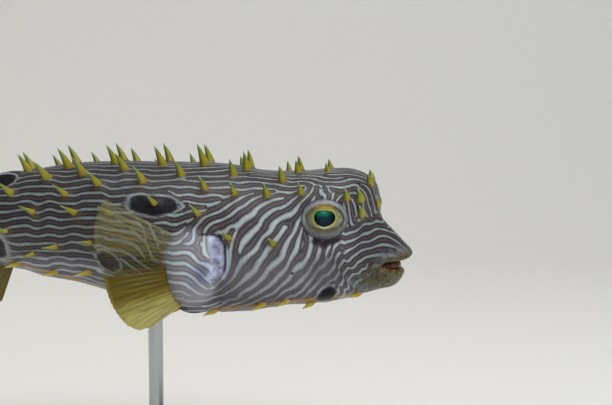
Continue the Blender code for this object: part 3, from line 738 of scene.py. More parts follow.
def ripple(seed, long, wide):
    # seeded noise: one value for every so many mm back along the skin and down from the back, joined smoothly
    lattice = np.random.default_rng(seed).standard_normal((70, 40))
    girth = np.cumsum(np.linalg.norm(acrossStep, axis=-1), axis=1)
    i, j = rowS / long, np.minimum(girth, girth[:, -1:] - girth) / wide
    i0, j0 = i.astype(int), j.astype(int)
    f, g = ease(i - i0), ease(j - j0)
    near, far = (mix(lattice[i0, j], lattice[i0 + 1, j], f) for j in (j0, j0 + 1))
    return mix(near, far, g)


def growStripes():
    # The stripes start from the phase. Then each round smooths the pattern along its lines, sharpens it
    # across them with a wavelet of the stripes' spacing, and squeezes it between -1 and 1; that bends them
    # round the blotches and spines and lets lines fork where they crowd. Taking off the local mean opens a
    # new line where one has grown too wide.
    heading, sure, double, gap = combField()
    phase = layPhase(heading, sure, gap)
    # from here on the phase's own slope gives the direction and spacing, where it is steep enough
    p, q = np.gradient(phase, axis=0), (np.roll(phase, -1, 1) - np.roll(phase, 1, 1)) / 2
    aa, ab, bb = (alongStep**2).sum(-1), (alongStep * acrossStep).sum(-1), (acrossStep**2).sum(-1)
    det = aa * bb - ab * ab + 1e-6
    slope = alongStep * (bb * p - ab * q)[..., None] + acrossStep * (aa * q - ab * p)[..., None]
    slope = slope / det[..., None]
    steep = np.linalg.norm(slope, axis=-1) + 1e-6
    firm = ease((steep * gap / tau - 0.62) / 0.2)
    own = np.exp(1j * (np.arctan2((slope * around).sum(-1), (slope * backward).sum(-1)) * 2 + math.pi))
    # but not where it strays by more than 12 degrees from the readings
    firm = firm * ease(((own * np.conj(double)).real - 0.77) / 0.14)
    firm = soften(firm, 8)
    double = mix(double, own, firm)
    size = soften(mix(gap, np.clip(tau / steep, 0.8 * gap, 1.25 * gap), firm), 30)
    size = size / stripes["usual"]
    for side, c, d, long, short, angle in blotchFrames():
        lead = np.arctan2(c / long**2, -d / short**2) + angle
        weight = 0.95 * hill(np.hypot(c / long, d / short) - 1.12, 0.36)
        double = double * (1 - weight) + weight * np.exp(2j * lead * side)
    for base, heading, normal, length, degrees in allSpines:
        offset = skinPoints - base
        ring = 2 * np.arctan2((offset * around).sum(-1), (offset * backward).sum(-1)) + math.pi
        weight = 0.6 * hill(np.sqrt((offset**2).sum(-1)), 1.6)
        double = double * (1 - weight) + weight * np.exp(1j * ring)
    angle = np.angle(double) / 2
    lines = backward * np.cos(angle)[..., None] + around * np.sin(angle)[..., None]
    alongTables = walk(lines, 0.75, 4, size)
    acrossTables = walk(np.cross(skinNormal, lines), 0.5, 6, size)
    turnRate = tau / stripes["usual"]
    pattern = np.cos(phase) * (0.3 + 0.9 * firm) + 0.3 * noiseOver(5, 1)
    for _ in range(stripes["rounds"]):
        smooth = pattern.copy()
        total = 1.0
        for distance, table in alongTables:
            weight = math.exp(-((distance / 2.0) ** 2) / 2)
            smooth += weight * readGrid(pattern, table)
            total += weight
        smooth /= total
        smooth -= 0.6 * soften(smooth, 10)
        even = smooth.copy()
        odd = np.zeros_like(smooth)
        for n, (distance, table) in enumerate(acrossTables):
            weight = math.exp(-((distance / 1.5) ** 2) / 2)
            value = readGrid(smooth, table)
            even += weight * math.cos(turnRate * distance) * value
            odd += weight * math.sin(turnRate * distance) * value * (1 if n < 6 else -1)
        pattern = np.tanh(1.6 * even / np.sqrt((even**2).mean()))
    wave = even / np.sqrt(even**2 + odd**2 + 1e-4 * (even**2).mean())
    # the finished lines are swung sideways a little, neighbours together, and curl low on the flank
    front = ease((95 - rowS) / 25)
    low = ease((np.minimum(columnT, tau - columnT) - 1.75) / 0.4) * (1 - front)
    swing = mix(ripple(4, 4.4, 12.0), ripple(6, 4.8, 4.6), np.maximum(front, low))
    swing = stripes["wave"] * np.tanh(swing) * 1.2
    (distance, swung), _ = walk(np.cross(skinNormal, lines), 1.0, 1, swing)
    return readGrid(wave - 0.7 * soften(wave, 12), swung)


stripeWave = growStripes()


def skinMasks():
    # where each marking and shade of the skin lies, from 0 to its full strength, by places in mm, by distance
    # from the slit, blotches and spines, and with some seeded noise in the edges
    x, y, z = np.moveaxis(skinPoints, -1, 0)
    d, there = slitDistance(skinPoints)
    edge = blotchDistance()
    spineNear = np.zeros(rowS.shape)
    for base, heading, normal, length, degrees in allSpines:
        spineNear = np.maximum(spineNear, hill(np.sqrt(((skinPoints - base) ** 2).sum(-1)), 1.9))
    lobe = ease((1.15 - rootDistance(skinPoints)) / 0.3) * (np.abs(y) > 15)
    under = np.degrees(np.arctan2(np.abs(y), 79 - z))      # from straight down, round the body's axis
    low = np.interp(x, (-101, -60, -30, 0, 30, 50, 66), (20, 38, 30, 26, 26, 28, 36))
    turn = np.minimum(columnT, tau - columnT)
    # painted shadow under the lid ring, laid into the slit's mask below
    lidShadow = np.zeros(rowS.shape)
    for px, py, wide, high in skin["lidShadows"]:
        home = skinPoints[skinAtPixel(px, py)]
        away = np.hypot((x - home[0]) / wide, (z - home[2]) / high)
        lidShadow = np.maximum(lidShadow, ease((1.35 - away) / 0.7) * (np.abs(y) > 10))
    corner = np.sqrt((x - 55.6) ** 2 + (np.abs(y) - 9.5) ** 2 + (z - 68.4) ** 2)
    home = skinPoints[skinAtPixel(*skin["underEyeShade"])]
    underEyeShade = np.hypot((x - home[0]) / 6.5, (z - home[2]) / 5.4)
    hem = ease((74.5 - z + 0.6 * noiseOver(22, 30)) / 3.5) * ease((-24 - x) / 10)
    chin = ease((x - 52.5 + 1.2 * noiseOver(15, 12)) / 4) * ease((71.6 - z) / 1.4)
    return {
        "stripe": stripeWave,
        "blotch": ease((0.25 - edge) / 0.45),
        "halo": 0.66 * hill(edge - 0.48, 0.24 + 1.2 * ease((-54 - x) / 5) * (z < 84)) * (x < 30),
        "foot": 0.55 * spineNear,
        "belly": ease((low - under + 4 * noiseOver(9, 60)) / 10) * ease((turn - 1.5) / 0.3),
        "hem": 0.8 * np.maximum(hem, ease((60.5 - z) / 3) * ease((x + 4) / 5) * ease((26 - x) / 8)),
        # painted shade on the cheek under the eye
        "underEyeShade": ease((1.5 - underEyeShade) / 0.9) * (np.abs(y) > 8),
        "fringe": hill(under - low - 2.5, 4.2) * ease((50 - x) / 8) * ease((x + 76) / 10),
        "gill": ease((0.2 - d) / 0.5) * ease((x - 3.4 + 0.35 * noiseOver(21, 30)) / 1.8) * (np.abs(y) > 10),
        "gillRear": ease((6.3 - x) / 2.6),
        "gillLip": hill(d - 0.95, 0.38) * ease((x - 7.6) / 1.2) * ease((79.0 - z) / 2) * (np.abs(y) > 10),
        # low on the fin's root the skin is darkened and tinted blue
        "blueTint": 0.8 * hill(np.hypot((x - 2.0) / 3.2, (z - 69.8) / 4.0), 1.0) * (np.abs(y) > 15),
        "calm": 0.6 * lobe * ease((69 - z) / 7),
        # painted shade over the tail half, the back and the snout
        "paintedShade": np.clip(0.75 * ease((2 - x) / 26) + 0.5 * ease((z - 92) / 9) * ease((38 - x) / 20)
                         + 0.6 * ease((x - 46) / 8), 0, 1),
        # near black: the gill slit's line, painted as the shade inside the opening, and the painted shadow
        # under the lid ring
        "slit": np.maximum(0.9 * there * hill(d, 0.30), 0.96 * lidShadow),
        "lobe": lobe,
        "mouth": ease((knotAt("lipInside") - 0.4 - rowS) / 1.6),
        "lips": np.maximum(hill(rowS - knotAt("lipFront"), 1.9 + 0.5 * (turn > 1.6)), 0.88 * chin),
        "muzzle": 0.62 * ease((x - 56 + 9 * ease((70 - z) / 2) + 1.5 * noiseOver(17, 12)) / 7)
                  * ease((79 - z) / 5),
        "gums": (turn > 1.6) * ease((knotAt("lipFront") + 0.7 - rowS) / 1.0),
        # painted shade in the corners of the mouth
        "corner": 0.75 * hill(corner, 3.4),
        "faded": ease((80 - z) / 12) * ease((x - 4) / 6) * ease((50 - x) / 10),
        "cheek": ease((x - 8) / 10) * ease((54 - x) / 12) * ease((96 - z) / 12) * ease((z - 58) / 6),
    }


print("skin")

skinTones = {
    # what each ramp of colours reads, and its colours: the level runs from the middle of a band to the middle
    # of a pale line
    "bands": ("level", {0.0: "#5b5152", 0.22: "#483f42", 0.45: "#1d191e", 0.60: "#282529", 0.74: "#6a6e6d",
                        0.88: "#969d9c", 1.0: "#abb3b4"}),
    "pale": ("level", {0.0: "#857a7d", 0.22: "#71686c", 0.44: "#3e393f", 0.58: "#4a474e", 0.72: "#82868d",
                       0.88: "#a5abaf", 1.0: "#bcc3c7"}),
    "finRoot": ("level", {0.0: "#989599", 0.28: "#8a878c", 0.48: "#6b6a6e", 0.62: "#83858b", 0.78: "#b2b8be",
                          1.0: "#d2dadf"}),
    "cream": ("level", {0.0: "#8f897c", 0.5: "#9d9787", 1.0: "#b5b19c"}),
    "lilac": ("level", {0.0: "#79757b", 0.45: "#55525a", 0.7: "#8f939d", 1.0: "#bfc6d0"}),
    "flap": ("rearward", {0.30: "#6e6a7d", 0.45: "#9796ad", 0.62: "#b3b8d8", 0.85: "#dce3f2"}),
    "night": ("grain", {0.3: "#040407", 0.7: "#0e0e17"}),
    "slate": ("mottle", {0.34: "#2c2b30", 0.5: "#5a5b5d", 0.66: "#83868a"}),
    "olive": ("specks", {0.34: "#1c1610", 0.45: "#3a2f1c", 0.51: "#625a18", 0.56: "#4b4530", 0.64: "#6d6a5c",
                         0.8: "#8b8878"}),
    "amber": ("specks", {0.36: "#2a1406", 0.5: "#5c3a10", 0.62: "#7d6420"}),
}
# layers laid over a ramp in turn: how they mix, how much there is of each, and its ramp or colour
skinLayers = {
    "finRoot": (("MIX", "calm", "#938e92"), ("MULTIPLY", "blueTint", "#939ccc")),
    "bands": (
        ("MIX", "widened", "pale"),
        ("MIX", "lobe", "finRoot"),
        ("MIX", "belly", "cream"),
        ("MULTIPLY", "paintedShade", "#c5c8c9"),    # painted shade: the tail half, the back and the snout are a little darker
        ("MULTIPLY", "underEyeShade", "#b3b2af"),   # and so, as painted shade, is the cheek under the eye
        ("MIX", "greyed", "#8c888f"),
        ("MIX", "hem", "lilac"),             # low on the flank the skin pales
        ("MIX", "gill", "flap"),             # nearly white behind and mottled grey in front
        ("MIX", "gillLip", "#bccbe2"),
        ("MIX", "orange", "#b38926"),
        ("MIX", "foot", "#665638"),
        ("MIX", "halo", "#adb1b2"),
        ("MIX", "blotch", "night"),
        # painted shade: the gill slit's opening and the shadow under the lid ring
        ("MIX", "slit", "#261c22"),
        ("MIX", "muzzle", "slate"),          # above the lips the stripes fade to mottled grey
        ("MIX", "lips", "olive"),            # lips and chin are rough, brown and olive
        # painted shade: the corners of the mouth darkened
        ("MIX", "corner", "#2d241f"),
        ("MIX", "gums", "amber"),
        ("MIX", "mouth", "#43150a"),         # red-brown lining of the mouth
    ),
}


def skinMaterial():
    # Fish skin, loose and scaleless, kept moist: brown-grey bands edged in near-black between thin pale
    # lines, with a soft satin shine
    grains = {"grain": (1.1, 3.0), "patch": (11, 2.0), "mottle": (2.2, 3.0)}
    made, tree, shader, place, read = newMaterial("burrfishSkin", grains, skinMaskNames)
    read["specks"] = addNode(tree, "TexNoise", {"Vector": place, "Scale": perMetre(1.3), "Detail": 4.0,
                                                "Roughness": 0.7})
    read["pebbles"] = addNode(tree, "TexVoronoi", {"Vector": place, "Scale": perMetre(0.6)})
    read["broken"] = addNode(tree, "MapRange", {"Value": read["mottle"], 1: 0.40, 2: 0.56, 3: 0.2, 4: 1.0})
    # sums, each the first times the second plus the third
    for name, first, second, third in (
            ("rough", "grain", 0.44, -0.17),        # the grain breaks the stripes' edges a little,
            ("rough", "cheek", 0.22, "rough"),      # on the cheek the pale lines widen,
            ("contrast", "faded", -0.34, 1.0),      # and low on it the stripes have less contrast
            ("wave", "stripe", "contrast", "rough"),
            ("level", "wave", 0.5, 0.5),
            ("greyed", "faded", 0.28, 0.0),
            ("patchy", "patch", 0.5, 0.45),
            ("widened", "patchy", "cheek", 0.0),
            ("rearward", "gillRear", 0.34, "mottle"),
            ("orange", "fringe", "broken", 0.0),
            ("relief", "pebbles", 0.4, "grain"),    # pebbles of 0.6 mm over creases of 2 mm
            ("relief", "mottle", 1.2, "relief")):
        factors = {n: read.get(part, part) for n, part in enumerate((first, second, third))}
        read[name] = addNode(tree, "Math", factors, operation="MULTIPLY_ADD", use_clamp=name == "level")
    tones = {name: addNode(tree, "ValToRGB", {"Fac": read[source]}, stops)
             for name, (source, stops) in skinTones.items()}
    for base, layers in skinLayers.items():
        for blend, share, above in layers:
            above = tones[above] if above in tones else linear(above)
            tones[base] = addNode(tree, "Mix", {0: read[share], 6: tones[base], 7: above}, out=2,
                                  data_type="RGBA", blend_type=blend)
    gloss = addNode(tree, "MapRange", {"Value": read["patch"], 3: 0.40, 4: 0.56})
    bump = addNode(tree, "Bump", {"Height": read["relief"], "Strength": 0.35, "Distance": 0.0003})
    fill(tree, shader, {"Base Color": tones["bands"], "Roughness": gloss, "Normal": bump,
                        "Specular IOR Level": 0.35, "Coat Weight": 0.06, "Coat Roughness": 0.3})
    return made


masks = skinMasks()
skinMaskNames = list(masks)
skinPiece = toMesh("skin", [{"points": skinPoints, "values": masks}], skinMaterial())
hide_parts("head", "trunk", "tail")

print("spines")

spines = {
    "thickness": (0.95, 0.115),   # radius in mm: the first, and the second times the spine's length
    "brow": 0.35,                 # and this much more on the brow
    "foot": 0.34,                 # how much wider the foot flares
    "flat": 0.84,                 # side to side, against front to back
    "sides": 12,
    "rows": 16,
    "charts": 11,                 # spines beside one another in the UV map
    "gutter": 0.004,              # and the free edge round each
}


def spinePatch(index, base, heading, normal, length, degrees):
    # a thorn: oval rings along a line bent back, whose radius falls as (1 - k) to a power; its foot starts
    # under the skin, square to it, and spreads as it leaves it
    draw = np.random.default_rng(100 + index)
    slight = ease((degrees - 40) / 25) * (degrees < 125)
    length = length * (1 + 0.06 * draw.standard_normal()) * (1 - 0.1 * slight)
    k = np.linspace(0, 1, spines["rows"]) ** 0.95
    turn = np.arange(spines["sides"]) * tau / spines["sides"]
    broad = spines["thickness"][0] + spines["thickness"][1] * length + spines["brow"] * (base[0] > 44)
    broad = broad * (1 - 0.22 * slight)
    radius = broad * ((1 - k) ** 0.9 + spines["foot"] * hill(k, 0.17)) + 0.04 * (1 - k**6)
    stem = ease(k / 0.4)[:, None]
    bent = unit(mix(normal, heading, stem))
    across = unit(np.cross(bent, np.array([1.0, 0.0, 0.2])) + 1e-6)
    over = np.cross(bent, across)
    line = (base - 0.9 * normal * (1 - stem) + heading * (length * k - 0.5 * (1 - k))[:, None]
            + np.array([-0.10, 0.0, 0.0]) * length * (k**2)[:, None])
    c, w = np.cos(turn)[None, :, None], np.sin(turn)[None, :, None]
    ring = spines["flat"] * c * across[:, None, :] + w * over[:, None, :]
    flute = 1 + 0.04 * np.cos(3 * turn + draw.uniform(0, tau)) * (1 - k)[:, None]
    points = line[:, None, :] + ring * (radius[:, None] * flute)[..., None]
    row, column = divmod(index, spines["charts"])
    corner = np.array([column, row, column + 1, row + 1]) / spines["charts"]
    corner = corner + np.array([1, 1, -1, -1]) * spines["gutter"]
    share = np.broadcast_to(k[:, None], points.shape[:2])
    low = np.full(points.shape[:2], float(degrees > 125))
    # 1 on the side towards the tail, where shade is painted
    rear = 0.5 - 0.5 * unit(ring)[..., 0]
    return {"points": points, "uv": corner, "values": {"reach": share, "low": low, "rear": rear}}


spineTones = {
    # from the foot to the tip, in front, behind, and on the spines of the belly: the side behind is painted
    # darker as shade, and the pale tips are a painted highlight
    "front": {0.0: "#57491f", 0.14: "#867618", 0.32: "#9a901b", 0.58: "#828824", 0.80: "#6e7f38",
              0.92: "#97a66e", 1.0: "#cfd8bf"},
    "behind": {0.0: "#3f3719", 0.18: "#5f5a16", 0.45: "#555c1a", 0.80: "#48602a", 1.0: "#8a9a72"},
    "belly": {0.0: "#85602e", 0.2: "#b08c30", 0.45: "#bba936", 1.0: "#c9c48a"},
}


def spineMaterial():
    # Bone spine in its own skin: brown foot, waxy yellow-olive shaft, green and then pale towards the tip,
    # the pale a painted highlight; painted shade on the side towards the tail
    labels = ("reach", "low", "rear")
    made, tree, shader, place, read = newMaterial("sheathedSpine", {"grain": (1.4, 3.0)}, labels)
    shifted = addNode(tree, "Math", {0: read["grain"], 1: 0.36, 2: -0.18}, operation="MULTIPLY_ADD")
    level = addNode(tree, "Math", {0: read["reach"], 1: shifted}, operation="ADD", use_clamp=True)
    colour, behind, belly = (addNode(tree, "ValToRGB", {"Fac": level}, stops)
                             for stops in spineTones.values())
    # painted shade: the side towards the tail takes the darker ramp
    away = addNode(tree, "MapRange", {"Value": read["rear"], 1: 0.35, 2: 0.85})
    for share, above in ((away, behind), (read["low"], belly)):
        colour = addNode(tree, "Mix", {0: share, 6: colour, 7: above}, data_type="RGBA", out=2)
    bump = addNode(tree, "Bump", {"Height": read["grain"], "Strength": 0.3, "Distance": 0.0002})
    fill(tree, shader, {"Base Color": colour, "Normal": bump, "Roughness": 0.42, "Coat Weight": 0.1})
    return made


toMesh("spines", [spinePatch(n, *spine) for n, spine in enumerate(allSpines)], spineMaterial())

print("eyes")


def eyeGrid(side, u, v, h):
    centre, out, ahead, up = eyeAxes(side)
    return centre + u[..., None] * ahead + v[..., None] * up + h[..., None] * out


def pupilRadius(turn):
    # radius read off the photograph at a few angles up from the front, joined and smoothed round the circle
    angles, radii = eye["pupil"]
    fine = np.interp(np.degrees(np.arange(360) * tau / 360), angles, radii, period=360)
    soft = sum(np.roll(fine, n) * math.exp(-((n / 13) ** 2)) for n in range(-26, 27))
    soft = soft / sum(math.exp(-((n / 13) ** 2)) for n in range(-26, 27))
    return np.interp(np.degrees(turn) % 360, np.arange(360), soft, period=360)


def irisPatch(side):
    # turned about the eye's axis: a well behind the pupil, the iris, and the eyeball's back
    turn = np.arange(120) * tau / 120
    ball, limbus = eye["radius"] - 0.05, eye["limbus"]
    iris = np.linspace(0, 1, 22)
    back = np.linspace(math.asin(limbus / ball), math.pi, 22)[1:-1]
    # row by row: the radius, as a share of the pupil's and a rest, and the height over the eye's centre
    rows = [(0, 0.6, 1.5), (0.9, 0, 1.7), (0.97, 0, 5.5)]
    rows += [(1 - k, limbus * k, mix(5.9, math.sqrt(ball**2 - limbus**2), k**1.4) + 0.18 * hill(k, 0.1))
             for k in iris]
    rows += [(0, ball * math.sin(a), ball * math.cos(a)) for a in back]
    share, rest, h = np.array(rows).T[..., None]
    r = share * pupilRadius(turn) + rest
    points = eyeGrid(side, r * np.cos(turn), r * np.sin(turn), h + 0 * turn)
    across = np.concatenate([[-0.2, -0.1, -0.05], iris, np.full(len(back), 1.2)])
    across = np.broadcast_to(across[:, None], r.shape)
    return {"points": points, "values": {"across": across, "height": r * np.sin(turn) / limbus}}


def ballPatch(side, offset, radius, rows=24, columns=48):
    # a sphere on the eye's axis
    a = np.linspace(0, math.pi, rows)[1:-1, None]
    turn = (np.arange(columns) * tau / columns)[None, :]
    u, v = radius * np.sin(a) * np.cos(turn), radius * np.sin(a) * np.sin(turn)
    # glow: where the painted shine is strongest, above and down the middle
    return {"points": eyeGrid(side, u, v, offset + radius * np.cos(a) + 0 * turn),
            "values": {"glow": 0.11 + 0.36 * v / radius - 0.42 * (u / radius + 0.12) ** 2}}


def corneaPatch(side):
    # a clear cap of the eyeball's sphere, with its edge under the lids
    a = np.linspace(0.02, 0.98, 26)[:, None]
    turn = (np.arange(72) * tau / 72)[None, :]
    radius = eye["radius"]
    u, v = radius * np.sin(a) * np.cos(turn), radius * np.sin(a) * np.sin(turn)
    return {"points": eyeGrid(side, u, v, radius * np.cos(a) + 0 * turn), "ends": ("fan", "open")}


irisTones = {
    "speck": {0.30: "#57574f", 0.48: "#80816f", 0.58: "#a1a18a", 0.72: "#bab99f"},
    # rings, from the pupil's edge to under the lids
    "across": {0.0: "#0b1a16", 0.04: "#b1b23c", 0.13: "#c0bf48", 0.24: "#90915f", 0.50: "#83857a",
               0.74: "#8b8c76", 0.88: "#9b983f", 1.0: "#75724a"},
}


def irisMaterial():
    # Fish iris under the cornea: a bright yellow-green ring at the pupil, then mottled grey and gold
    grains = {"speck": (0.7, 4.0), "cloud": (2.4, 2.0)}
    made, tree, shader, place, read = newMaterial("mottledIris", grains, ("across", "height"))
    mottle, colour = (addNode(tree, "ValToRGB", {"Fac": read[name]}, stops)
                      for name, stops in irisTones.items())
    share, gold, near, low = (
        addNode(tree, "MapRange", {"Value": read[name], 1: a, 2: b, 3: c, 4: d}) for name, a, b, c, d in (
            ("across", 0.12, 0.3, 0.1, 0.6), ("height", 0.42, 0.56, 0.0, 2.2),
            ("across", 0.08, 0.16, 1.0, 0.0), ("height", -0.34, -0.42, 0.0, 1.0)))
    gold = addNode(tree, "Math", {0: gold, 1: read["cloud"]}, operation="MULTIPLY", use_clamp=True)
    lowGlint = addNode(tree, "Math", {0: near, 1: low}, operation="MULTIPLY")
    # mottling, gold above, and a painted highlight: a bright crescent under the pupil
    for amount, above in ((share, mottle), (gold, linear("#ecc45c")), (lowGlint, linear("#e9e6b4"))):
        colour = addNode(tree, "Mix", {0: amount, 6: colour, 7: above}, data_type="RGBA", out=2)
    bump = addNode(tree, "Bump", {"Height": read["speck"], "Strength": 0.4, "Distance": 0.0002})
    fill(tree, shader, {"Base Color": colour, "Normal": bump, "Roughness": 0.4, "Metallic": 0.15})
    return made


def lensMaterial():
    # The lens seen through the pupil: clear emerald above and down its middle, navy to either side; this
    # shine is painted, and the lens glows a little as painted light
    made, tree, shader, place, read = newMaterial("emeraldLens", {"cloud": (2.4, 3.0)}, ("glow",))
    level = addNode(tree, "Math", {0: read["cloud"], 1: 0.9, 2: read["glow"]}, operation="MULTIPLY_ADD")
    colour = addNode(tree, "ValToRGB", {"Fac": level}, {
        0.0: "#050c1e", 0.40: "#06162c", 0.50: "#08322f", 0.62: "#0a5440", 0.95: "#2c9470"})
    # a faint glow, painted light
    fill(tree, shader, {"Base Color": colour, "Emission Color": colour, "Emission Strength": 0.25,
                        "Specular IOR Level": 0.1, "Roughness": 0.35})
    return made


def corneaMaterial():
    # Cornea: clear and wet, seen only by its reflections
    made, tree, shader, place, read = newMaterial("wetCornea", {})
    tree.nodes.remove(shader)
    clear = addNode(tree, "BsdfTransparent")
    gloss = addNode(tree, "BsdfGlossy", {"Roughness": 0.10})
    share = addNode(tree, "Fresnel", {"IOR": 1.38})
    share = addNode(tree, "Math", {0: share, 1: 0.35}, operation="MULTIPLY")
    surface = addNode(tree, "MixShader", {0: share, 1: clear, 2: gloss})
    fill(tree, tree.nodes["Material Output"], {"Surface": surface})
    return made


lids = {
    # across the lids, 0 at the opening and 1 at the outer fold, and how far they stand over the eye and skin
    "across": (0.10, 0.02, -0.02, -0.02, 0.03, 0.10, 0.20, 0.34, 0.50, 0.62, 0.74, 0.84, 0.92, 1.00, 1.06),
    "lift": (-1.0, -0.6, -0.2, 0.12, 0.36, 0.50, 0.62, 0.78, 0.86, 0.82, 0.70, 0.46, 0.10, -0.5, -1.2),
    "rows": 44,
    "columns": 144,
}


def lidPatch(side):
    # a ring of skin: its profile runs from under the lids' edge, over a round swelling, into the skin at the
    # outer fold; it lies on the higher of the eyeball and the body
    turn = (np.arange(lids["columns"]) * tau / lids["columns"])[None, :]
    steps = np.linspace(0, len(lids["across"]) - 1, lids["rows"])
    k = np.interp(steps, np.arange(len(lids["across"])), lids["across"])[:, None]
    lift = np.interp(steps, np.arange(len(lids["lift"])), lids["lift"])
    lift = np.convolve(np.pad(lift, 2, "edge"), (0.1, 0.2, 0.4, 0.2, 0.1), "valid")[:, None]
    u = mix(eye["opening"][0], eye["fold"][0], k) * np.cos(turn)
    v = mix(eye["opening"][1], eye["fold"][1], k) * np.sin(turn) - eye["drop"] * k
    ball = np.sqrt(np.clip(eye["radius"] ** 2 - u**2 - v**2, 0, None))
    wrinkle = 0.09 * (hill(k - 0.34, 0.05) + hill(k - 0.62, 0.05)) * (1 + 0.5 * np.sin(3 * turn + 1))
    height = higher(restHeight(u, v), ball + 0.1, 0.9) + lift - wrinkle
    return {"points": eyeGrid(side, u, v, height), "ends": ("open", "open"), "turn": side < 0,
            "values": {"across": k + 0 * turn, "height": np.sin(turn) + 0 * k}}


def lidMaterial():
    # Lid skin: smooth, moist and grey-blue, olive along its inner edge
    grains = {"grain": (1.2, 3.0), "cloud": (1.6, 3.0)}
    made, tree, shader, place, read = newMaterial("lidSkin", grains, ("across", "height"))
    shifted = addNode(tree, "Math", {0: read["grain"], 1: 0.5, 2: -0.25}, operation="MULTIPLY_ADD")
    level = addNode(tree, "Math", {0: shifted, 1: read["across"]}, operation="ADD", use_clamp=True)
    colour = addNode(tree, "ValToRGB", {"Fac": level}, {
        0.0: "#7c773a", 0.10: "#8a8656", 0.20: "#7b7e7c", 0.36: "#9a9fa5", 0.55: "#8a8f96", 0.76: "#76797f",
        1.0: "#474347"})
    # paler above and in clouds
    cloudy = addNode(tree, "Math", {0: read["height"], 1: 0.36, 2: read["cloud"]}, operation="MULTIPLY_ADD")
    cloudy = addNode(tree, "ValToRGB", {"Fac": cloudy}, {
        0.22: "#b0acaa", 0.42: "#d0d1d2", 0.62: "#e8eaee", 0.85: "#ffffff"})
    colour = addNode(tree, "Mix", {0: 1.0, 6: colour, 7: cloudy}, data_type="RGBA", blend_type="MULTIPLY",
                     out=2)
    bump = addNode(tree, "Bump", {"Height": read["grain"], "Strength": 0.4, "Distance": 0.0002})
    fill(tree, shader, {"Base Color": colour, "Normal": bump, "Roughness": 0.45, "Coat Weight": 0.15})
    return made


irisFinish, lensFinish = irisMaterial(), lensMaterial()
corneaFinish, lidFinish = corneaMaterial(), lidMaterial()
for name, side in (("right", 1), ("left", -1)):
    globe = toMesh("eyeball_" + name, [irisPatch(side)], irisFinish)
    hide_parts("eye_" + name)
    toMesh("lens_" + name, [ballPatch(side, 3.1, 3.7)], lensFinish)
    toMesh("cornea_" + name, [corneaPatch(side)], corneaFinish)
    toMesh("lids_" + name, [lidPatch(side)], lidFinish)

print("nostrils and pores")

# Openings in the skin of the head: pixel, inner radius, outer radius and height of the rim in mm
pores = {
    "nostril": (356, 218, 0.36, 1.00, 0.40),
    "cheekPore": (342, 250, 0.30, 1.00, 0.28),
    "jawPore": (292, 274, 0.34, 0.56, 0.03),
}


def porePatch(n, x, y, inner, outer, high, side):
    # a rim turned about the skin's normal: from the floor up the inner wall, over, and down into the skin
    at = skinAtPixel(x, y)
    mirror = np.array([1, side, 1])
    centre, out = skinPoints[at] * mirror, skinNormal[at] * mirror
    ahead = unit(np.array([1.0, 0, 0]) - out * out[0])
    up = np.cross(out, ahead)
    turn = (np.arange(40) * tau / 40)[None, :]
    r = np.array([0.05, 0.55, 0.85, 1.0, 1.0, 1.0, 1.0, 1.0, 1.0, 1.0])[:, None] * inner
    r = r + np.array([0, 0, 0, 0, 0.14, 0.32, 0.52, 0.72, 0.9, 1.0])[:, None] * (outer - inner)
    h = np.array([0.15, 0.15, 0.25, 0.75, 1.0, 0.98, 0.75, 0.42, 0.1, -0.5])[:, None] * high + 0 * turn
    depth = np.array([0, 0, 0.05, 0.5, 1, 1, 1, 0.9, 0.7, 0.6])[:, None] + 0 * turn
    points = (centre + (r * np.cos(turn))[..., None] * ahead * 1.15 + (r * np.sin(turn))[..., None] * up
              + h[..., None] * out)
    cell = (0.17 * n + 0.01, 0.02, 0.17 * n + 0.15, 0.98)
    return {"points": points, "ends": ("fan", "open"), "turn": side > 0, "uv": cell,
            "values": {"depth": depth}}


def poreMaterial():
    # Skin drawn up round an opening: the brown of the bands on the rim, dark inside as painted shade
    made, tree, shader, place, read = newMaterial("poreSkin", {"grain": (0.8, 3.0)}, ("depth",))
    shifted = addNode(tree, "Math", {0: read["grain"], 1: 0.3, 2: -0.15}, operation="MULTIPLY_ADD")
    level = addNode(tree, "Math", {0: read["depth"], 1: shifted}, operation="ADD", use_clamp=True)
    colour = addNode(tree, "ValToRGB", {"Fac": level}, {
        0.0: "#1d191d", 0.3: "#2c272b", 0.6: "#463f42", 0.85: "#544d50", 1.0: "#655f61"})
    bump = addNode(tree, "Bump", {"Height": read["grain"], "Strength": 0.3, "Distance": 0.0002})
    fill(tree, shader, {"Base Color": colour, "Normal": bump, "Roughness": 0.5})
    return made


toMesh("pores", [porePatch(2 * n + (side < 0), *pore, side) for n, pore in enumerate(pores.values())
                 for side in (1, -1)], poreMaterial())

print("mouth")

mouthFloor = {
    "centre": (58.0, 0.0, 70.2),
    "half": (7.4, 7.3, 1.9),     # half sizes in mm
    "square": 3.0,
    "rows": 24,
    "columns": 72,
}


def mouthPatch():
    # a flat round pad: |x|^n + |y|^n + |z|^n = 1 in units of its half sizes, above and below its rim
    a = np.linspace(0, math.pi, mouthFloor["rows"])[1:-1, None]
    turn = (np.arange(mouthFloor["columns"]) * tau / mouthFloor["columns"])[None, :]
    power = 2 / mouthFloor["square"]
    level = np.sin(a) ** power
    pad = np.stack([level * np.cos(turn), level * np.sin(turn),
                    np.sign(np.cos(a)) * np.abs(np.cos(a)) ** power + 0 * turn], -1)
    return {"points": np.array(mouthFloor["centre"]) + pad * np.array(mouthFloor["half"])}


def mouthMaterial():
    # Gum between the lips: wet, soft and dark red-brown
    made, tree, shader, place, read = newMaterial("wetGum", {"grain": (1.5, 3.0)})
    colour = addNode(tree, "ValToRGB", {"Fac": read["grain"]}, {
        0.35: "#2a1206", 0.5: "#4c240a", 0.65: "#6b431a"})
    bump = addNode(tree, "Bump", {"Height": read["grain"], "Strength": 0.4, "Distance": 0.0003})
    fill(tree, shader, {"Base Color": colour, "Normal": bump, "Roughness": 0.4})
    return made


toMesh("mouth_floor", [mouthPatch()], mouthMaterial())

print("fins")


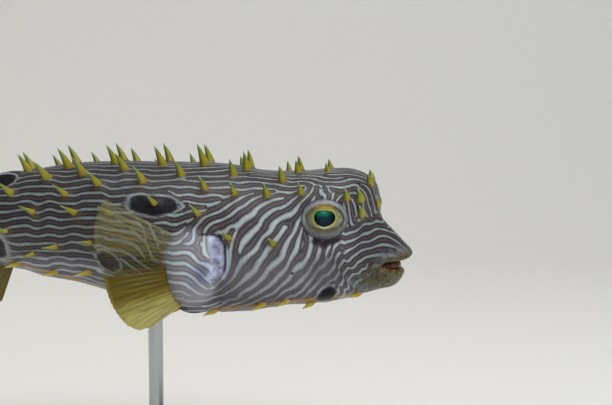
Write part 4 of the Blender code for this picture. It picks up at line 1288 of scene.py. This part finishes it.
def plate(surface, rays, perRay, rows, settings):
    # a thin closed plate: half thickness falls from root to edge, and each ray is a ridge that forks
    # in two on its way out, with the edge notched between rays
    u = np.linspace(0, 1, rays * perRay + 1)[:, None]
    v = np.linspace(0, 1, rows)[None, :] ** 0.9
    inRay = u * rays - np.floor(u * rays * 0.99999)          # 0 to 1 across one ray's strip
    off = np.abs(inRay - 0.5)
    fork = 0.24 * ease((v - 0.4) / 0.5)
    ridge = hill(off - fork, 0.13) * (1 - 0.4 * v)
    notch = 1 - settings["notch"] * v**6 * ease((off - 0.22) / 0.28)
    reach = v * notch
    middle = surface(u, reach)
    ripple = settings["ripple"] * np.sin(math.pi * v) * np.cos(tau * inRay)
    normal = unit(np.cross(np.gradient(middle, axis=0), np.gradient(middle, axis=1)))
    middle = middle + normal * ripple[..., None]
    half = settings["edge"] + (settings["root"] - settings["edge"]) * np.exp(-v / settings["fall"])
    half = half / 2 * (1 - 0.75 * ease((v - 0.9) / 0.1)) + settings["ridge"] * ridge
    rim = ease(np.minimum(u, 1 - u) * rays * 2.5)
    half = half * (0.35 + 0.65 * rim)
    front = middle + normal * half[..., None]
    back = middle - normal * half[..., None]
    ring = np.concatenate([front, back[::-1]], axis=0).transpose(1, 0, 2)
    both = {
        "ray": np.concatenate([ridge, ridge[::-1]], axis=0).T,
        "out": np.concatenate([v + 0 * u, (v + 0 * u)[::-1]], axis=0).T,
        "fan": np.concatenate([u + 0 * v, (u + 0 * v)[::-1]], axis=0).T,
    }
    return {"points": ring, "ends": ("zip", "zip"), "values": both}


pectoralFin = {
    # the arcs of the root and of the edge: centre in x and z, degrees up from straight back of the first and
    # last rays, and distances out from the body's middle plane
    "root": ((-1.6, 71.2), (66.0, -80.0), (22.6, -3.4)),
    "edge": ((-1.5, 71.5), (40.5, -57.0), (29.5, 2.2)),
    "rootRadii": (8.2, 11.2),
    "reach": ((0, 0.16, 0.32, 0.5, 0.7, 0.84, 0.93, 1), (35.4, 33.2, 29.2, 26.8, 26.8, 26.6, 25.2, 21.4)),
    "wave": 0.9,
}


def pectoral(side):
    # rays fan from an arc on the root to an arc held back along the flank
    def surface(u, v):
        u, v = np.broadcast_arrays(u, v)
        (rootX, rootZ), first, (rootOut, rootIn) = pectoralFin["root"]
        (edgeX, edgeZ), last, (edgeOut, edgeBulge) = pectoralFin["edge"]
        root, edge = np.radians(mix(*first, u)), np.radians(mix(*last, u))
        wide, high = pectoralFin["rootRadii"]
        reach = np.interp(u, *pectoralFin["reach"])
        x = mix(rootX - wide * np.cos(root), edgeX - reach * np.cos(edge), v)
        z = mix(rootZ + high * np.sin(root), edgeZ + reach * np.sin(edge), v)
        start = rootOut + rootIn * ease((u - 0.55) / 0.45)
        end = edgeOut + edgeBulge * np.sin(math.pi * u)
        wave = pectoralFin["wave"] * np.sin(math.pi * v) * np.cos(3 * math.pi * u)
        return np.stack([x, -(mix(start, end, v**0.8) + wave) * side, z], -1)
    return surface


medianFins = {
    # the root's ends, the first and last rays' degrees from upright, the height, how far it rises in the
    # middle and falls to the rear, and how far and how often the fin waves from side to side
    "dorsal": {"up": 1, "x": (-69.5, -81.5), "z": (97.2, 90.0), "slant": (36.0, 82.0),
               "height": 17.5, "rise": 0.28, "fall": 0.34, "wave": 0.9, "waves": 2.2},
    "anal": {"up": -1, "x": (-66.0, -78.5), "z": (70.4, 76.0), "slant": (20.0, 78.0),
             "height": 16.0, "rise": 0.26, "fall": 0.32, "wave": -0.8, "waves": 2.0},
}
sunkRoot = 3.0        # mm of the rays' length that start inside the body


def medianFin(fin):
    # rays stand on a sloping root and slant to the rear, more so the last ones
    def surface(u, v):
        u, v = np.broadcast_arrays(u, v)
        slant = np.radians(mix(*fin["slant"], u))
        arch = 1 - fin["rise"] + fin["rise"] * np.sin(math.pi * np.clip(u * 0.9 + 0.1, 0, 1))
        reach = (fin["height"] * arch * (1 - fin["fall"] * ease((u - 0.45) / 0.55)) + sunkRoot) * v
        y = fin["wave"] * np.sin(2.4 * v) * np.sin(fin["waves"] * math.pi * u)
        return np.stack([mix(*fin["x"], u) - reach * np.sin(slant), y,
                         mix(*fin["z"], u) + fin["up"] * reach * np.cos(slant)], -1)
    return surface


def caudal(u, v):
    u, v = np.broadcast_arrays(u, v)
    spread = np.radians(mix(27.0, -27.0, u))
    length = 29.0 * (1 - 0.16 * np.abs(2 * u - 1) ** 2.4) + 1.6
    x = -99.8 - length * v * np.cos(spread * v**0.5)
    z = 83.9 + mix(5.6, -5.6, u) + length * v * np.sin(spread)
    y = 1.1 * np.sin(math.pi * v * 0.8) * np.sin(1.5 * math.pi * (u - 0.5)) * v
    return np.stack([x, y, z], -1)


finTones = {
    # the membrane, and the rays in it
    "web": {0.12: "#918d6a", 0.30: "#8d8656", 0.46: "#6a5e19", 0.60: "#4b3f02", 0.80: "#655607",
            0.94: "#a59d57", 1.0: "#b0a96a"},
    "bone": {0.12: "#9a966e", 0.30: "#958e5d", 0.46: "#74681d", 0.60: "#5b4d04", 0.80: "#7b6b12",
             0.94: "#bab15f", 1.0: "#a8973e"},
}
finThreads = 170      # from the first ray of a fin to its last
firmCover = 2.0       # cover where the membrane is firm all over


def finMaterial(name, cover, firm, tints):
    # Fin: fine yellow rays of bone in a thin membrane, which is clear between them where they spread and
    # firm where they crowd. Its first rays have the first cover, the next ones run from the first cover at
    # the root to the second at the edge, and the last ones are firm. Firm is how dense the membrane is where
    # there is any. Tints say which stretch of the colours the fin takes, from its first ray to its last.
    made, tree, shader, place, read = newMaterial(name, {"grain": (2.0, 3.0)}, ("ray", "out", "fan"))
    # streaks that follow the rays: noise drawn out from root to edge
    lay = addNode(tree, "CombineXYZ", {"X": read["fan"], "Y": read["out"]})
    lay = addNode(tree, "Mapping", {"Vector": lay, "Scale": (34.0, 2.2, 1.0)})
    streak = addNode(tree, "TexNoise", {"Vector": lay, "Scale": 1.0, "Detail": 2.0})
    tint = addNode(tree, "MapRange", {"Value": read["fan"], 3: tints[0], 4: tints[1]})
    wander = addNode(tree, "Math", {0: streak, 1: 0.26, 2: tint}, operation="MULTIPLY_ADD")
    colour, bone = (addNode(tree, "ValToRGB", {"Fac": wander}, stops) for stops in finTones.values())
    dark = addNode(tree, "MapRange", {"Value": streak, 1: 0.3, 2: 0.5, 3: 0.55, 4: 0.0})
    edge = addNode(tree, "MapRange", {"Value": read["out"], 1: 0.93, 2: 1.0, 3: 0.0, 4: 0.4})
    for share, above in ((dark, linear("#453a10")), (read["ray"], bone), (edge, linear("#a89a3c"))):
        colour = addNode(tree, "Mix", {0: share, 6: colour, 7: above}, data_type="RGBA", out=2)
    # the membrane itself: threads finer than the rays, side by side, which fill out where the rays crowd
    turn = addNode(tree, "Math", {0: streak, 1: 0.03, 2: read["fan"]}, operation="MULTIPLY_ADD")
    turn = addNode(tree, "Math", {0: turn, 1: tau * finThreads}, operation="MULTIPLY")
    thread = addNode(tree, "Math", {0: turn}, operation="SINE")
    crowd = addNode(tree, "MapRange", {"Value": read["out"], 1: 0.3, 2: 0.6, 3: cover[0], 4: cover[1]})
    crowd = addNode(tree, "MapRange", {"Value": read["fan"], 1: 0.26, 2: 0.34, 3: cover[0], 4: crowd})
    crowd = addNode(tree, "MapRange", {"Value": read["fan"], 1: 0.41, 2: 0.49, 3: crowd, 4: firmCover})
    for filler, amount in ((read["ray"], 0.7), (streak, 1.6), (thread, 1.0)):
        crowd = addNode(tree, "Math", {0: filler, 1: amount, 2: crowd}, operation="MULTIPLY_ADD")
    alpha = addNode(tree, "MapRange", {"Value": crowd, 1: 1.38, 2: 1.58, 3: 0.0, 4: firm})
    bump = addNode(tree, "Bump", {"Height": read["grain"], "Strength": 0.25, "Distance": 0.0002})
    fill(tree, shader, {"Base Color": colour, "Alpha": alpha, "Normal": bump, "Roughness": 0.4,
                        "Specular IOR Level": 0.3})
    return made


pectoralPlate = {"root": 1.3, "edge": 0.30, "fall": 0.14, "ridge": 0.07, "ripple": 0.08, "notch": 0.01}
medianPlate = {"root": 2.2, "edge": 0.32, "fall": 0.16, "ridge": 0.14, "ripple": 0.10, "notch": 0.022}
caudalPlate = {"root": 3.6, "edge": 0.34, "fall": 0.12, "ridge": 0.16, "ripple": 0.10, "notch": 0.02}
pectoralFinish = finMaterial("pectoralMembrane", (-0.05, -0.58), 0.90, (0.0, 1.0))
medianFinish = finMaterial("medianMembrane", (1.9, 1.9), 0.86, (0.58, 0.72))
for name, side in (("right", 1), ("left", -1)):
    patch = plate(pectoral(side), 24, 12, 60, pectoralPlate)
    piece = toMesh("pectoral_" + name, [patch], pectoralFinish)
    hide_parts("pectoral_fin_" + name)
for name, surface, rays, settings in (("dorsal", medianFin(medianFins["dorsal"]), 12, medianPlate),
                                      ("anal", medianFin(medianFins["anal"]), 10, medianPlate),
                                      ("caudal", caudal, 10, caudalPlate)):
    piece = toMesh(name, [plate(surface, rays, 14, 60, settings)], medianFinish)
    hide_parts(name + "_fin")

print("stand")


def paintMaterial():
    # Powder-coated aluminium plate: fine dark texture, low satin shine
    made, tree, shader, place, read = newMaterial("powderCoat", {"grain": (0.4, 2.0), "wear": (22, 4.0)})
    colour = addNode(tree, "ValToRGB", {"Fac": read["wear"]}, {0.3: "#3a3c3e", 0.7: "#45474a"})
    gloss = addNode(tree, "MapRange", {"Value": read["wear"], 3: 0.42, 4: 0.56})
    bump = addNode(tree, "Bump", {"Height": read["grain"], "Strength": 0.5, "Distance": 0.00006})
    fill(tree, shader, {"Base Color": colour, "Roughness": gloss, "Normal": bump})
    return made


def steelMaterial():
    # Stainless steel rod, turned and brushed round: fine rings that streak its highlights
    made, tree, shader, place, read = newMaterial("brushedSteel", {})
    rings = addNode(tree, "Mapping", {"Vector": place, "Scale": (60.0, 60.0, 5000.0)})
    lines = addNode(tree, "TexNoise", {"Vector": rings, "Scale": 1.0, "Detail": 2.0})
    gloss = addNode(tree, "MapRange", {"Value": lines, 3: 0.2, 4: 0.42})
    bump = addNode(tree, "Bump", {"Height": lines, "Strength": 0.15, "Distance": 0.00004})
    fill(tree, shader, {"Base Color": linear("#b9bcbe"), "Roughness": gloss, "Normal": bump, "Metallic": 1.0})
    return made


for name, finish in (("stand_base", paintMaterial()), ("stand_rod", steelMaterial())):
    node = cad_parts[name]
    node.data.materials.clear()
    node.data.materials.append(finish)

print("floor and light")


def layFloor():
    # a sweep: level floor, a quarter round, and a wall behind
    run = np.concatenate([[-1600.0], np.linspace(-600, 500, 12)])
    bend = np.linspace(0, math.pi / 2, 16)
    y = np.concatenate([run, 500 + 400 * np.sin(bend), [900.0]])
    z = np.concatenate([0 * run, 400 - 400 * np.cos(bend), [2200.0]])
    x = np.linspace(-2500, 2500, 6)
    points = np.stack(np.broadcast_arrays(x[None, :], y[:, None], z[:, None]), -1) * mm
    rows, columns = points.shape[:2]
    faces = [(i * columns + j, i * columns + j + 1, (i + 1) * columns + j + 1, (i + 1) * columns + j)
             for i in range(rows - 1) for j in range(columns - 1)]
    mesh = bpy.data.meshes.new("floor")
    mesh.from_pydata(points.reshape(-1, 3).tolist(), [], faces)
    mesh.shade_smooth()
    # matt painted board: an even, near-white ground
    made, tree, shader, place, read = newMaterial("paleBackdrop", {})
    fill(tree, shader, {"Base Color": linear("#f6f5f1"), "Roughness": 0.9})
    mesh.materials.append(made)
    floor = bpy.data.objects.new("floor", mesh)
    bpy.context.scene.collection.objects.link(floor)


# Place in metres, size in metres, power in watts, and colour
lights = {
    "overhead": ((0.15, -0.22, 0.85), 0.9, 5.6, "#ffffff"),
    "front": ((0.58, -0.62, 0.26), 0.5, 2.2, "#f2f5ff"),
    "rear": ((-0.7, 0.35, 0.5), 0.6, 1.6, "#fff6ea"),
}


def placeLights():
    aim = Vector((0.0, 0.0, 0.08))
    for name, (place, size, power, colour) in lights.items():
        data = bpy.data.lights.new(name, "AREA")
        data.shape = "DISK"
        data.size = size
        data.energy = power
        data.color = linear(colour)[:3]
        made = bpy.data.objects.new(name, data)
        bpy.context.scene.collection.objects.link(made)
        made.location = place
        made.visible_glossy = name == "overhead"
        made.rotation_euler = (aim - Vector(place)).to_track_quat("-Z", "Y").to_euler()
    world = bpy.data.worlds.new("studio")
    bpy.context.scene.world = world
    world.use_nodes = True
    tree = world.node_tree
    fill(tree, tree.nodes["Background"], {"Color": linear("#dfe4e8"), "Strength": 0.21})


layFloor()
placeLights()
bpy.context.scene.view_settings.view_transform = "Standard"

print("done")
